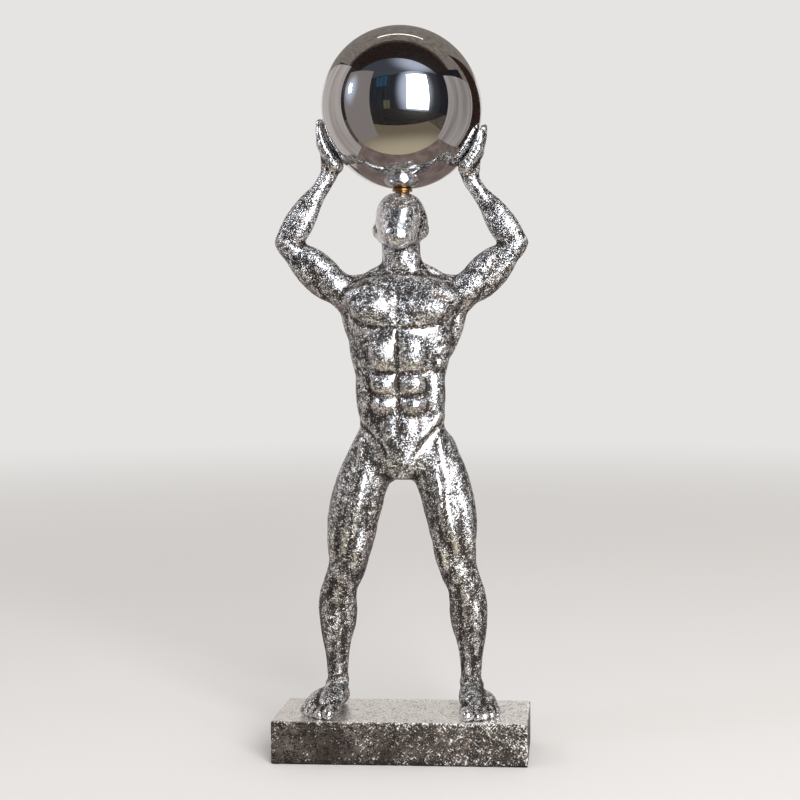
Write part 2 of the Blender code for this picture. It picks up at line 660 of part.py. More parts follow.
def collar():
    radius = BALL_DIAMETER / 2
    base = PLINTH_HEIGHT + SEAT_GAP + FIGURE_HEIGHT + SEAT_GAP
    centre = base + COLLAR_HEIGHT + SEAT_GAP + radius
    clear = radius + SEAT_GAP
    flange_low = base + COLLAR_HEIGHT - COLLAR_FLANGE_THICKNESS
    dish = [COLLAR_FLANGE_RADIUS * share for share in (0.93, 0.6, 0.3)]
    profile = [(COLLAR_STEM_RADIUS, base), (COLLAR_STEM_RADIUS, flange_low)]
    profile += [(COLLAR_FLANGE_RADIUS - 0.3, flange_low), (COLLAR_FLANGE_RADIUS, flange_low + 0.4)]
    profile += [(COLLAR_FLANGE_RADIUS, base + COLLAR_HEIGHT - 0.3)]
    profile += [(r, centre - math.sqrt(clear * clear - r * r)) for r in dish]
    bm = bmesh.new()
    points = [bm.verts.new((r * MM, 0, z * MM)) for r, z in profile]
    bottom = bm.verts.new((0, 0, base * MM))
    top = bm.verts.new((0, 0, (centre - clear) * MM))
    chain = [bottom, *points, top]
    edges = [bm.edges.new(pair) for pair in zip(chain, chain[1:])]
    turned = {"axis": (0, 0, 1), "cent": (0, 0, 0), "steps": 32, "angle": math.tau, "use_merge": True}
    bmesh.ops.spin(bm, geom=chain + edges, **turned)
    bmesh.ops.remove_doubles(bm, verts=bm.verts, dist=1e-6)
    bmesh.ops.recalc_face_normals(bm, faces=bm.faces)
    mesh = bpy.data.meshes.new("collar")
    bm.to_mesh(mesh)
    bm.free()
    mesh.shade_smooth()
    mesh.set_sharp_from_angle(angle=math.radians(35))
    mesh.materials.append(material("turned brass", (0.62, 0.42, 0.2), 0.25, 1.0))
    return new_object("collar", mesh)


def steel_ball():
    bm = bmesh.new()
    bmesh.ops.create_icosphere(bm, subdivisions=4, radius=BALL_DIAMETER / 2 * MM)
    height = PLINTH_HEIGHT + SEAT_GAP + ball_centre_above_soles()
    bmesh.ops.translate(bm, vec=(0, 0, height * MM), verts=bm.verts)
    mesh = bpy.data.meshes.new("ball")
    bm.to_mesh(mesh)
    bm.free()
    mesh.shade_smooth()
    mesh.materials.append(material("mirror polished steel", (0.75, 0.75, 0.76), 0.03, 1.0))
    return new_object("ball", mesh)


def main():
    for obj in list(bpy.data.objects):
        bpy.data.objects.remove(obj)
    plinth()
    figure()
    collar()
    steel_ball()


main()
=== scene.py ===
"""A strongman statue, dressed for a studio picture: a muscular figure in antiqued silver leaf that stands on a
leafed block and holds a mirror-polished steel ball on its brow, over a small turned brass collar.

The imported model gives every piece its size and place. Metres, +Z up, and the figure faces -Y.
"""

import math

import bmesh
import bpy
import numpy as np
from bpy.props import FloatProperty, FloatVectorProperty, IntProperty, PointerProperty
from mathutils import Matrix, Vector, noise


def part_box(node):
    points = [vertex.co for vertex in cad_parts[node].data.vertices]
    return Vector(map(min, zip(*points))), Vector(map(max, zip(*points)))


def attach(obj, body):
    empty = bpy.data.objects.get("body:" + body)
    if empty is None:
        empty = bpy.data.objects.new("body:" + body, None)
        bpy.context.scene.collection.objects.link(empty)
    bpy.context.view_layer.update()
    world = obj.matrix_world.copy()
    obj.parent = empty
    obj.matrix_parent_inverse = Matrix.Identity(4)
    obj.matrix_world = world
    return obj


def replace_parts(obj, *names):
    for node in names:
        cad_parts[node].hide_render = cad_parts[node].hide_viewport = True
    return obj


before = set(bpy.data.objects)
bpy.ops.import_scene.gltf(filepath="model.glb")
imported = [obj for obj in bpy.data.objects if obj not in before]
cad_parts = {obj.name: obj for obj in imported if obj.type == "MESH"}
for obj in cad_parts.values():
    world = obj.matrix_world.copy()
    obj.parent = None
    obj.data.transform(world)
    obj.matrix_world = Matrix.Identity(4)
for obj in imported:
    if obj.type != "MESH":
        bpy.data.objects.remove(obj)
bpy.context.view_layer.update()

bl_info = {
    "name": "Strongman statue",
    "version": (1, 0, 0),
    "blender": (4, 5, 0),
    "location": "3D View > Sidebar > Statue",
    "description": "Builds a leafed strongman statue with its mirror ball, plinth and studio",
    "category": "Add Mesh",
}

MM = 0.001

PLINTH_LOW, PLINTH_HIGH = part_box("plinth")
FIGURE_LOW, FIGURE_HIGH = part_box("figure")
COLLAR_LOW, COLLAR_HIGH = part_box("collar")
BALL_LOW, BALL_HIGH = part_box("ball")
BALL_CENTRE = (BALL_LOW + BALL_HIGH) / 2
BALL_RADIUS = (BALL_HIGH.z - BALL_LOW.z) / 2

# Gap between pieces that rest on each other
SEAT_GAP = 0.3 * MM

# The figure is drawn in units of its own, from the soles at 0 to the crown at this height, and is then
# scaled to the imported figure. Each point is (x, y, z) with +x to the figure's left and -y to its front.
CROWN = 383.5
SEAT_HEIGHT = COLLAR_LOW.z - SEAT_GAP
UNIT = (SEAT_HEIGHT - FIGURE_LOW.z) / CROWN
FORWARD = Vector((0, -1, 0))
UP = Vector((0, 0, 1))
BROAD_FILLET = 4.6
FINE_FILLET = 2.2


# Colours and settings


def linear(code):
    """An sRGB hex colour as linear red, green and blue."""
    channels = [int(code[i : i + 2], 16) / 255 for i in (1, 3, 5)]
    return tuple(c / 12.92 if c <= 0.04045 else ((c + 0.055) / 1.055) ** 2.4 for c in channels)


def length(name, description, default):
    return FloatProperty(name=name, description=description, default=default, min=0.0, unit="LENGTH", precision=5)


def colour(name, description, code):
    return FloatVectorProperty(
        name=name, description=description, default=linear(code), size=3, min=0.0, max=1.0, subtype="COLOR"
    )


def share(name, description, default):
    return FloatProperty(name=name, description=description, default=default, min=0.0, max=1.0, subtype="FACTOR")


class FigureSettings(bpy.types.PropertyGroup):
    """Sizes and colours of the leafed figure"""

    grain: length("Grain", "Size of the voxels that join the muscles into one skin", 0.85 * MM)
    lumps: length("Lumps", "Depth of the leaf's broad crumples", 0.15 * MM)
    grooves: share("Grooves", "Depth of the grooves between the muscles, as a share of the cast ones", 0.7)
    triangles: IntProperty(name="Triangles", description="Triangles of the finished figure", default=180000)
    leaf: colour("Leaf", "Bright silver leaf", "#E6E6E8")
    patina: colour("Patina", "Dark wash left in the pits of the leaf", "#0E0C0B")
    bole: colour("Bole", "Brown ground that shows through in the hollows", "#5F4A35")


class PlinthSettings(bpy.types.PropertyGroup):
    """Sizes and colours of the block that the figure stands on"""

    edge_round: length("Edge round", "Radius of the plinth's edges", 1.2 * MM)
    cell: length("Cell", "Spacing of the points over the block's faces", 1.4 * MM)
    dents: length("Dents", "Depth of the worn places along the edges", 0.35 * MM)
    leaf: colour("Leaf", "Dull silver leaf", "#B5AFA9")
    # Along the foot, this dark is both wash and a painted contact shadow
    patina: colour("Patina", "Dark wash in the pits and along the foot", "#14110F")
    # The scratches are real wear, and their white is a painted glint
    scratch_glint: colour("Scratch", "Bright leaf that is rubbed bare in short strokes", "#F4F1EC")


class BallSettings(bpy.types.PropertyGroup):
    """Sizes and colours of the ball and its collar"""

    steel: colour("Steel", "Mirror-polished stainless steel", "#D3D3D5")
    brass: colour("Brass", "Turned and polished brass", "#B8945F")
    collar_round: length("Collar round", "Radius of the collar's turned edges", 0.25 * MM)


class StageSettings(bpy.types.PropertyGroup):
    """Colours and strengths of the studio"""

    floor: colour("Floor", "Plain pale floor", "#D6D4D2")
    backdrop: colour("Backdrop", "Plain pale surroundings", "#F3F1EF")
    window: FloatProperty(name="Window", description="Power of the large softbox", default=66.0, min=0.0, unit="POWER")


# Shapes that the body is built up from

LOFT_SIDES = 40


def sway(z):
    """The hips and ribs stand a little to the figure's right."""
    heights = (60, 80, 110, 150, 200, 230, 264, 300)
    return float(np.interp(z, heights, (-1.3, -1.8, -1.2, -1.2, -0.1, -1.6, -2.0, -0.6)))


def axes_of(along, facing):
    """A 3x3 matrix whose columns are across, facing and along."""
    along = along.normalized()
    across = along.cross(facing)
    if across.length < 1e-4:
        across = along.cross(Vector((1, 0, 0)))
    across.normalize()
    facing = across.cross(along).normalized()
    return Matrix((across, facing, along)).transposed()


def belly(bm, start, end, wide, thick, facing=FORWARD, taper=0.0):
    """A muscle: an egg that runs from start to end, with half width and half thickness given.
    A positive taper makes the end fatter than the start."""
    start = Vector(start)
    end = Vector(end)
    turn = axes_of(end - start, Vector(facing))
    half = (end - start).length / 2
    middle = (start + end) / 2
    made = bmesh.ops.create_icosphere(bm, subdivisions=3, radius=1.0)
    for vert in made["verts"]:
        swell = 1 + taper * vert.co.z
        local = Vector((vert.co.x * wide * swell, vert.co.y * thick * swell, vert.co.z * half))
        vert.co = middle + turn @ local


def ball(bm, centre, radii, turn=None):
    """An ellipsoid with a radius along each of its own axes."""
    turn = turn or Matrix.Identity(3)
    made = bmesh.ops.create_icosphere(bm, subdivisions=3, radius=1.0)
    for vert in made["verts"]:
        local = Vector(a * b for a, b in zip(vert.co, radii))
        vert.co = Vector(centre) + turn @ local


def rod(bm, start, end, start_radius, end_radius, facing=FORWARD, flat=1.0):
    """A bone or finger: a tapered rod with round ends. Its thickness along facing is flat times its width."""
    start = Vector(start)
    end = Vector(end)
    turn = axes_of(end - start, Vector(facing))
    made = bmesh.ops.create_icosphere(bm, subdivisions=3, radius=1.0)
    for vert in made["verts"]:
        at_end = vert.co.z > 0
        radius = end_radius if at_end else start_radius
        local = Vector((vert.co.x * radius, vert.co.y * radius * flat, vert.co.z * radius))
        vert.co = (end if at_end else start) + turn @ local


def loft(bm, rings):
    """A closed skin over rings of (centre, half width, front, back), where front and back are from the centre."""
    loops = []
    for centre, half_width, front, back in rings:
        made = bmesh.ops.create_circle(bm, segments=LOFT_SIDES, radius=1.0, cap_ends=False)
        for vert in made["verts"]:
            depth = front if vert.co.y < 0 else back
            local = Vector((vert.co.x * half_width, vert.co.y * depth, 0))
            vert.co = Vector(centre) + local
        loops.append(made["verts"])
    edges = [list({e for v in loop for e in v.link_edges}) for loop in loops]
    for below, above in zip(edges, edges[1:]):
        bmesh.ops.bridge_loops(bm, edges=below + above)
    for rim in (edges[0], edges[-1]):
        bmesh.ops.contextual_create(bm, geom=rim)


# Torso


def torso(bm, _side):
    # (height, half width, front, back) down the middle of the body
    outline = (
        (173, 10, 7, 9),
        (181, 30, 15, 19),
        (192, 36, 17, 22),
        (204, 34, 17.5, 21),
        (214.5, 31.0, 17.5, 18),
        (226, 31.2, 17, 16.5),
        (238, 32.0, 17, 16),
        (250, 33.4, 18, 17),
        (260, 36.2, 20, 18.5),
        (270, 38.2, 21.5, 20.5),
        (282, 39, 22.5, 22.5),
        (294, 40.5, 22.5, 23),
        (305, 39, 20, 22),
        (315, 33, 16, 19.5),
        (323, 22, 11, 17),
    )
    loft(bm, [((sway(z), 0, z), w, f, b) for z, w, f, b in outline])
    for side in (-1, 1):
        chest(bm, side)
        abdomen(bm, side)
        back(bm, side)


def chest(bm, side):
    s = side
    # Breast muscle: its full lower part, and the fan from the breastbone up to the raised arm
    ball(bm, (s * 19.5, -13.0, 299), (19.0, 12.5, 13.0))
    belly(bm, (s * 4, -14.5, 304), (s * 43, -10, 306), 12.5, 9.5, (s * 0.12, -1, -0.1), -0.1)
    ball(bm, (s * 17, -7.5, 311), (20, 10.5, 12))
    # Collar bone
    rod(bm, (s * 5, -8.6, 321), (s * 30, -3, 319), 2.6, 3.0)
    # Broad back muscle, seen behind the ribs
    belly(bm, (s * 42.5, 8, 309), (s * 28.5, 10, 258), 13, 7.6, (s, 0.3, 0), -0.24)
    # Saw-toothed muscle over the ribs
    for z, x, y in ((279, 35.5, -9.0), (270, 34.5, -10.0), (261, 33.0, -10.5)):
        belly(bm, (s * (x + 1), y + 8, z + 4), (s * (x - 7), y - 5.0, z - 4), 4.6, 3.0, (s, -0.8, 0))


def abdomen(bm, side):
    s = side
    # Straight muscle of the belly, in blocks of (height, half height, half width, y)
    for z, tall, wide, y in ((267, 14.8, 10.6, -17.2), (243.8, 8.6, 10.4, -15.2), (228.8, 7.6, 9.6, -14.4)):
        ball(bm, (sway(z) + s * 10.6, y, z), (wide, 6.8, tall))
    belly(bm, (sway(215) + s * 8, -13.0, 224), (s * 4, -12.5, 190), 9.5, 6.6)
    ball(bm, (sway(195), -11.0, 197), (17, 8.2, 24))
    ball(bm, (sway(182), -3.0, 184), (15, 13.0, 11))
    # Slanting muscle at the flank
    belly(bm, (sway(262) + s * 25.0, -5, 264), (sway(220) + s * 25, -3, 212), 10.0, 8.0, (s, -0.6, 0))
    belly(bm, (s * 28, -1, 228), (sway(210) + s * 23, -8, 209), 7.0, 6.2, (s, -0.6, 0))
    # Crest of the hip
    rod(bm, (sway(206) + s * 29, 4, 206), (sway(204) + s * 23, -8.5, 203), 4.0, 3.5)


def back(bm, side):
    s = side
    # Shoulder blade and the muscle over it
    belly(bm, (s * 16, 19, 312), (s * 26, 19, 278), 11, 6.5, (0, 1, 0))
    belly(bm, (s * 10, 19, 320), (s * 40, 9, 312), 8, 7, (0, 1, 0.4))
    # Columns beside the spine
    belly(bm, (s * 7, 14, 300), (sway(210) + s * 8, 15, 205), 6.5, 5.5, (0, 1, 0))
    # Top of the shoulder, and the slope to it from the neck
    ball(bm, (s * 34, 4, 316.5), (11, 11, 8.6))
    belly(bm, (s * 5, 13, 335), (s * 38, 6, 315.5), 8.5, 4.6, (s * 0.3, 0.3, 1), 0.1)
    # Buttock
    ball(bm, (sway(186) + s * 18, 13, 187), (18, 16.5, 20))
    ball(bm, (sway(192) + s * 28, 7, 193), (12, 12, 16))


# Head and neck

HEAD_PIVOT = Vector((-1.6, 2.0, CROWN - 25.3))
HEAD_TILT = math.radians(38)


def head(bm, _side):
    turn = Matrix.Rotation(-HEAD_TILT, 3, "X")

    def at(x, forward, up):
        return HEAD_PIVOT + turn @ Vector((x, -forward, up))

    ball(bm, at(0, -1.5, 9.0), (19.9, 22.0, 19.4), turn)
    ball(bm, at(0, 4.5, 8.5), (19.0, 18.6, 18.6), turn)
    ball(bm, at(0, 6.5, 1.0), (18.0, 16.0, 19.5), turn)
    ball(bm, at(0, 8.5, -7.0), (15.8, 12.5, 17.0), turn)
    ball(bm, at(0, 9.5, -15.5), (12.0, 10.5, 10.5), turn)
    for s in (-1, 1):
        rod(bm, at(s * 13.2, 0.5, -9), at(s * 6, 11.0, -19), 4.6, 5.0)
        ear(bm, s, at, turn)
    # Column of the neck, and the strap muscles down to the breastbone
    rod(bm, (-1.2, 8.5, 322), HEAD_PIVOT + Vector((-0.6, 4.0, -8)), 15.0, 14.6)
    for s in (-1, 1):
        belly(bm, (s * 11.8 - 1.4, 5.0, 350), (s * 6.0, -5.5, 320), 4.6, 4.6, (s, -1, 0))
    ball(bm, (-1.2, -2.5, 339), (10.5, 7.5, 14.0))
    ball(bm, (-0.8, 2.5, 321), (22, 10, 11))


def ear(bm, s, at, turn):
    lean = turn @ Matrix.Rotation(s * math.radians(14), 3, "Z")
    ball(bm, at(s * 18.7, -1.5, -0.5), (2.3, 4.0, 6.2), lean)
    ball(bm, at(s * 17.8, 0.0, -6.2), (2.2, 2.8, 3.0), lean)


# Arms and hands

SHOULDERS = {-1: Vector((-42, 3, 308)), 1: Vector((42, 3, 308))}
ELBOWS = {-1: Vector((-84.5, -2, 345.5)), 1: Vector((83.0, -2, 345.0))}
WRIST_ANGLE = {-1: math.radians(48.5), 1: math.radians(44.0)}
WRIST_LIFT = 13.5
PALM_HEEL_ANGLE = {-1: math.radians(48), 1: math.radians(44)}
FINGERTIP_ANGLE = {-1: math.radians(83.5), 1: math.radians(79)}


def on_ball(side, angle, depth, lift):
    """A point lift outside the ball, at an angle from its lowest point to one side, depth behind its centre."""
    radius = BALL_RADIUS / UNIT + lift
    centre = Vector((0, 0, (BALL_CENTRE.z - FIGURE_LOW.z) / UNIT))
    ring = math.sqrt(max(radius * radius - depth * depth, 1.0))
    return centre + Vector((side * ring * math.sin(angle), depth, -ring * math.cos(angle)))


def wrist_of(side):
    return on_ball(side, WRIST_ANGLE[side], 0, WRIST_LIFT)


def arm(bm, side):
    s = side
    shoulder = SHOULDERS[s]
    elbow = ELBOWS[s]
    wrist = wrist_of(s)
    upper = elbow - shoulder
    fore = wrist - elbow
    outward = Vector((s, 0, 0))
    # The plane of the bent arm: inward is towards the crook of the elbow
    crook = (-upper.normalized() + fore.normalized()).normalized()

    def on_upper(t, inward, forward):
        return shoulder + upper * t + crook * inward + FORWARD * forward

    def on_fore(t, inward, forward):
        side_of = crook - fore.normalized() * crook.dot(fore.normalized())
        side_of.normalize()
        return elbow + fore * t + side_of * inward + FORWARD * forward

    # Upper arm
    rod(bm, on_upper(-0.05, 0, 0), on_upper(0.98, 0, 0), 12.5, 9.2)
    belly(bm, on_upper(0.12, 5.2, 1), on_upper(0.97, 4.8, 1), 11.0, 10.5, crook, 0.02)
    belly(bm, on_upper(-0.05, -5, -2), on_upper(0.9, -5, -1), 11.5, 11.5, -crook, -0.12)
    belly(bm, on_upper(0.2, -6.5, 4), on_upper(0.95, -4.5, 3), 6.5, 8.5, -crook, -0.1)
    # Cap of the shoulder
    belly(bm, on_upper(-0.28, 6, 0), on_upper(0.58, 3.0, 2), 12.5, 10.5, crook)
    belly(bm, on_upper(-0.22, 1, 7), on_upper(0.52, 1, 6), 10.5, 8.0)
    belly(bm, on_upper(-0.25, 0, -8), on_upper(0.5, -1, -6), 11.0, 8.0, -FORWARD)
    # Elbow
    ball(bm, elbow - crook * 4.6 + UP * 3.0, (5.8, 6.0, 5.8))
    ball(bm, on_fore(0.02, -3, 0), (8.2, 8.4, 8.2))
    # Forearm
    rod(bm, elbow, wrist, 8.4, 5.6)
    belly(bm, on_fore(-0.08, -3.6, 1), on_fore(0.84, -3.0, 0), 8.2, 8.8, -crook, -0.24)
    belly(bm, on_fore(-0.05, 2.8, 2), on_fore(0.78, 1.2, 1), 7.6, 7.8, crook, -0.22)
    belly(bm, on_fore(0.0, 0, -4), on_fore(0.85, 0, -1), 7.4, 7.0, -FORWARD, -0.2)
    rod(bm, on_fore(0.6, -0.4, 0), on_fore(1.0, 0, 0), 6.6, 6.4, FORWARD, 1.1)
    hand(bm, s)


def hand(bm, side):
    heel = PALM_HEEL_ANGLE[side]
    span = FINGERTIP_ANGLE[side] - heel

    def at(share, depth, lift):
        return on_ball(side, heel + span * share, depth, lift)

    inward = (at(0.5, 0, 0) - at(0.5, 0, 10)).normalized()
    # Palm, and the pads at its heel
    for depth in (-6.0, -2.0, 2.0, 6.0):
        rod(bm, at(0.06, depth * 0.8, 6.0), at(0.48, depth * 1.12, 5.4), 5.6, 4.9, inward, 0.95)
    ball(bm, at(0.10, -4.6, 5.8), (6.2, 5.2, 6.6))
    ball(bm, at(0.08, 5.0, 5.8), (6.2, 5.4, 6.6))
    rod(bm, wrist_of(side), at(0.28, 0, 6.6), 7.0, 5.8, inward, 0.9)
    # Four fingers, from the little one in front to the first behind
    for depth, reach in ((-8.2, 0.85), (-2.9, 0.96), (2.4, 1.0), (7.4, 0.94)):
        joint = 0.46 + (reach - 0.46) * 0.5
        rod(bm, at(0.46, depth * 0.9, 5.2), at(joint, depth, 4.4), 3.9, 3.2, inward)
        rod(bm, at(joint, depth, 4.4), at(reach - 0.04, depth * 1.02, 3.2), 3.2, 2.4, inward)
    # Thumb, laid along the back of the ball
    rod(bm, at(0.08, 6.5, 4.6), at(0.26, 12.5, 3.8), 4.6, 3.4)
    rod(bm, at(0.26, 12.5, 3.8), at(0.50, 16.5, 3.0), 3.2, 2.3)


# Legs and feet

# (height, outer edge, inner edge, front, back), from the hip to the ankle
LEG_OUTLINE = (
    (213, 30.0, 12.0, 9, 13),
    (206, 35.0, 7.0, 12, 17),
    (199, 39.0, 4.0, 14, 19),
    (191, 42.6, 2.5, 15, 20),
    (184, 46.0, 2.5, 15.5, 20),
    (176, 49.0, 6.5, 16, 19.5),
    (168, 51.4, 10.5, 16.5, 19),
    (160, 53.6, 13.6, 17, 18.5),
    (145, 56.0, 18.5, 17, 17),
    (135, 56.0, 19.8, 16.5, 15.5),
    (122.5, 54.2, 23.4, 15, 14),
    (110, 55.2, 25.8, 13.5, 13),
    (99, 58.6, 29.4, 12, 13.5),
    (89, 62.2, 34.6, 10.5, 14.5),
    (76.5, 64.0, 35.2, 9.0, 16),
    (60.7, 63.0, 37.0, 7.5, 15),
    (51.6, 61.8, 39.4, 7.0, 13.5),
    (41, 59.8, 41.6, 6.5, 11.5),
    (24.4, 58.4, 42.9, 6.0, 10),
    (12, 58.0, 43.6, 8, 10),
)
ANKLE_Y = 10.5
CALF_INNER = {-1: -3.3, 1: -5.4}
FOOT_TURN = {-1: math.radians(16), 1: math.radians(15)}


def leg(bm, side):
    s = side
    loft(bm, [(leg_middle(s, z), (wide - near) / 2, f, b) for z, wide, near, f, b in LEG_OUTLINE])

    def at(z, outward, forward):
        """A point at a height, outward from the leg's middle and forward of it."""
        return leg_middle(s, z) + Vector((s * outward, -forward, 0))

    # Front of the thigh: outer, middle and inner heads
    belly(bm, at(182, 10, 4), at(108, 8.5, 5), 9.5, 12.5, (s * 0.9, -0.6, 0), -0.06)
    belly(bm, at(188, 1, 9.5), at(111, 2.0, 9.5), 8.6, 11.0, (s * 0.1, -1, 0))
    belly(bm, at(150, -8, 9), at(101, -6.6, 6.5), 8.2, 10.0, (-s * 0.6, -0.8, 0), 0.2)
    # Inner thigh, and the long strap from the hip to the inner knee
    belly(bm, at(182, -7.5, 2), at(122, -7.5, 1), 12.5, 9.0, (-s, -0.2, 0), -0.1)
    belly(bm, at(206, 8, 12), at(140, -9, 12.5), 4.4, 4.4)
    # Back of the thigh
    belly(bm, at(178, 5, -9), at(102, 8, -7.5), 9.5, 11.5, (0, 1, 0))
    belly(bm, at(174, -6, -9), at(100, -8, -7), 9.0, 11.0, (0, 1, 0))
    # Kneecap, its tendon and the pads beside it
    ball(bm, at(104.5, 0.5, 8.4), (7.6, 5.2, 10.0))
    rod(bm, at(98, 0.5, 9.0), at(84, 0.5, 8.4), 3.6, 4.0)
    ball(bm, at(95, 6.0, 6.0), (4.6, 4.6, 6.4))
    ball(bm, at(95, -6.0, 6.0), (4.6, 4.6, 6.4))
    # Shin and the muscle beside it
    rod(bm, at(88, -1, 8.2), at(28, -2, 5.4), 3.6, 2.8)
    belly(bm, at(92, 6.0, 4), at(34, 2.5, 3.5), 7.4, 8.0, (s * 0.7, -0.8, 0), -0.25)
    # Calf
    belly(bm, at(92, CALF_INNER[s], -6), at(44, CALF_INNER[s], -7.5), 8.4, 11.0, (-s * 0.6, 0.8, 0), -0.06)
    belly(bm, at(100, 5, -6), at(54, 3.6, -7.5), 8.6, 12.0, (s * 0.5, 0.8, 0), -0.12)
    belly(bm, at(74, 0, -5), at(26, 0, -6), 9.5, 8.0, (0, 1, 0), -0.25)
    # Heel cord
    rod(bm, at(44, 0, -8.5), at(12, 0, -9.5), 2.8, 3.2)
    # Ankle bones
    ball(bm, at(20, -6.2, 0.5), (3.0, 4.2, 4.4))
    ball(bm, at(16.5, 6.6, -1.5), (3.0, 3.8, 4.6))
    foot(bm, s, leg_middle(s, 12) - UP * 12)


def leg_middle(side, z):
    """Middle of the leg at a height: the knee is a little forward and the ankle back."""
    heights = [row[0] for row in LEG_OUTLINE][::-1]
    middles = [(row[1] + row[2]) / 2 for row in LEG_OUTLINE][::-1]
    x = side * float(np.interp(z, heights, middles)) + sway(z)
    y = float(np.interp(z, (0, 25, 75, 105, 150, 190), (ANKLE_Y, ANKLE_Y, 6.0, 3.0, 1.5, 2.0)))
    return Vector((x, y, z))


def foot(bm, side, ankle):
    s = side
    turn = FOOT_TURN[s]
    ahead = Vector((s * math.sin(turn), -math.cos(turn), 0))
    outer = Vector((s * math.cos(turn), math.sin(turn), 0))

    def at(forward, outward, up):
        return ankle + ahead * forward + outer * outward + UP * up

    # Heel, instep and ball of the foot
    ball(bm, at(-6.6, 0.6, 6.8), (7.0, 7.4, 8.0))
    rod(bm, at(-5, 0.6, 6.5), at(14, 1.5, 5.8), 6.8, 8.6, UP, 0.9)
    rod(bm, at(0, -0.5, 17), at(20, -1.0, 6.5), 8.2, 7.4, UP)
    belly(bm, at(-5, -1.0, 17), at(31, -4.0, 4.5), 9.4, 7.8, UP)
    belly(bm, at(0, 5, 12), at(29, 10.5, 3.8), 8.4, 6.4, UP)
    rod(bm, at(23, -8.4, 4.8), at(20, 11.6, 4.1), 5.6, 4.8, UP)
    # Toes, from the great toe out
    toes = ((-9.4, 38.5, 4.7), (-2.3, 38.4, 3.6), (3.7, 36.6, 3.4), (9.2, 33.8, 3.2), (14.2, 30.2, 3.0))
    for outward, reach, radius in toes:
        root = at(21.5, outward * 0.88, 4.6)
        joint = at(21.5 + (reach - 21.5) * 0.5, outward * 0.97, 4.8)
        rod(bm, root, joint, radius * 1.05, radius, UP)
        rod(bm, joint, at(reach - radius, outward, radius * 0.82), radius, radius, UP, 0.94)


# Grooves cut in the finished body. Each is (depth, half width, points), on both sides of the body.
# The points of the trunk are (x, z), and those of the legs are (outward from the leg's middle, z).
# A groove gets its full depth at a distance of GROOVE_RUN_OUT from its ends.
GROOVE_RUN_OUT = 10.0

FRONT_LINES = (
    (0.6, 2.4, ((0, 320), (0, 302), (0, 280))),
    (1.4, 1.8, ((0, 294), (0, 264), (0, 238), (0, 218))),
    (1.5, 1.7, ((-9, 285.8), (0, 285), (9, 285), (18, 285), (27, 286.5), (35, 293), (41, 307))),
    (1.2, 1.6, ((-7, 252.4), (10, 252), (20, 252.8), (28, 257))),
    (1.0, 1.7, ((-7, 235.4), (10, 235), (24, 238))),
    (0.4, 3.0, ((23, 284), (23, 264), (22, 247), (21, 230))),
    (1.2, 1.7, ((38, 224), (24, 209.5), (14.5, 200), (8, 188))),
    (0.4, 2.0, ((43, 304), (38, 288), (32, 272))),
)
BACK_LINES = (
    (1.8, 2.8, ((0, 326), (0, 290), (0, 250), (0, 212))),
    (2.4, 2.2, ((0, 206), (0, 190), (0, 176))),
    (1.1, 2.6, ((13, 300), (15, 284), (24, 274), (34, 276))),
    (1.5, 2.2, ((6, 172), (17, 167.5), (30, 170))),
    (0.9, 2.6, ((14, 262), (15, 240), (19, 222))),
)
LEG_FRONT_LINES = (
    (0.9, 2.4, ((5, 196), (0.5, 166), (-2.0, 150), (-2.5, 138), (0, 114))),
    (0.5, 2.6, ((12, 180), (9, 150), (7.5, 132), (8, 110))),
    (0.6, 2.4, ((-8, 186), (-12, 162), (-12.5, 132), (-10, 100))),
    (0.6, 2.2, ((-10, 109), (-3.5, 116.5), (0.5, 117.5), (5, 116.5), (11, 109))),
    (0.4, 2.2, ((-8, 99), (0.5, 94.5), (9, 99))),
    (0.5, 2.4, ((-5, 94), (-4.5, 70), (-5, 50), (-5, 30))),
)
LEG_BACK_LINES = (
    (1.2, 2.6, ((0, 160), (0, 135), (0, 108))),
    (1.3, 2.6, ((0, 96), (0, 80), (0, 58))),
)


def fineness(points):
    """1 on the hands, ears and feet, where the forms are small, and 0 on the trunk and limbs."""
    feet = (24 - points[:, 2]) / 8
    hands = np.full(len(points), -1.0)
    for side in (-1, 1):
        palm = np.array(on_ball(side, FINGERTIP_ANGLE[side] * 0.85, 0, 4))
        hands = np.maximum(hands, (30 - np.linalg.norm(points - palm, axis=1)) / 8)
        ear_hole = np.array(HEAD_PIVOT + Vector((side * 17.5, 0, 0)))
        hands = np.maximum(hands, (11 - np.linalg.norm(points - ear_hole, axis=1)) / 4)
    return np.clip(np.maximum(feet, hands), 0, 1)


def filleted(mesh, grain):
    """The skin's points, with a broad fillet on the trunk and limbs and a fine one on the small forms."""
    points = coordinates(mesh)
    near = smoothed(mesh, points, round((FINE_FILLET / grain) ** 2))
    far = smoothed(mesh, near, round((BROAD_FILLET / grain) ** 2))
    fine = fineness(points)[:, None]
    return near * fine + far * (1 - fine)


def distance_to_line(points, line):
    """Each point's distance to a polyline in the plane, and to the nearer of the line's two ends."""
    nearest = np.full(len(points), 1e9)
    for a, b in zip(line, line[1:]):
        a = np.array(a, float)
        b = np.array(b, float)
        run = b - a
        share = np.clip(((points - a) @ run) / (run @ run), 0, 1)
        foot_points = a + share[:, None] * run
        nearest = np.minimum(nearest, np.linalg.norm(points - foot_points, axis=1))
    to_end = np.minimum(*(np.linalg.norm(points - np.array(line[i], float), axis=1) for i in (0, -1)))
    return nearest, to_end


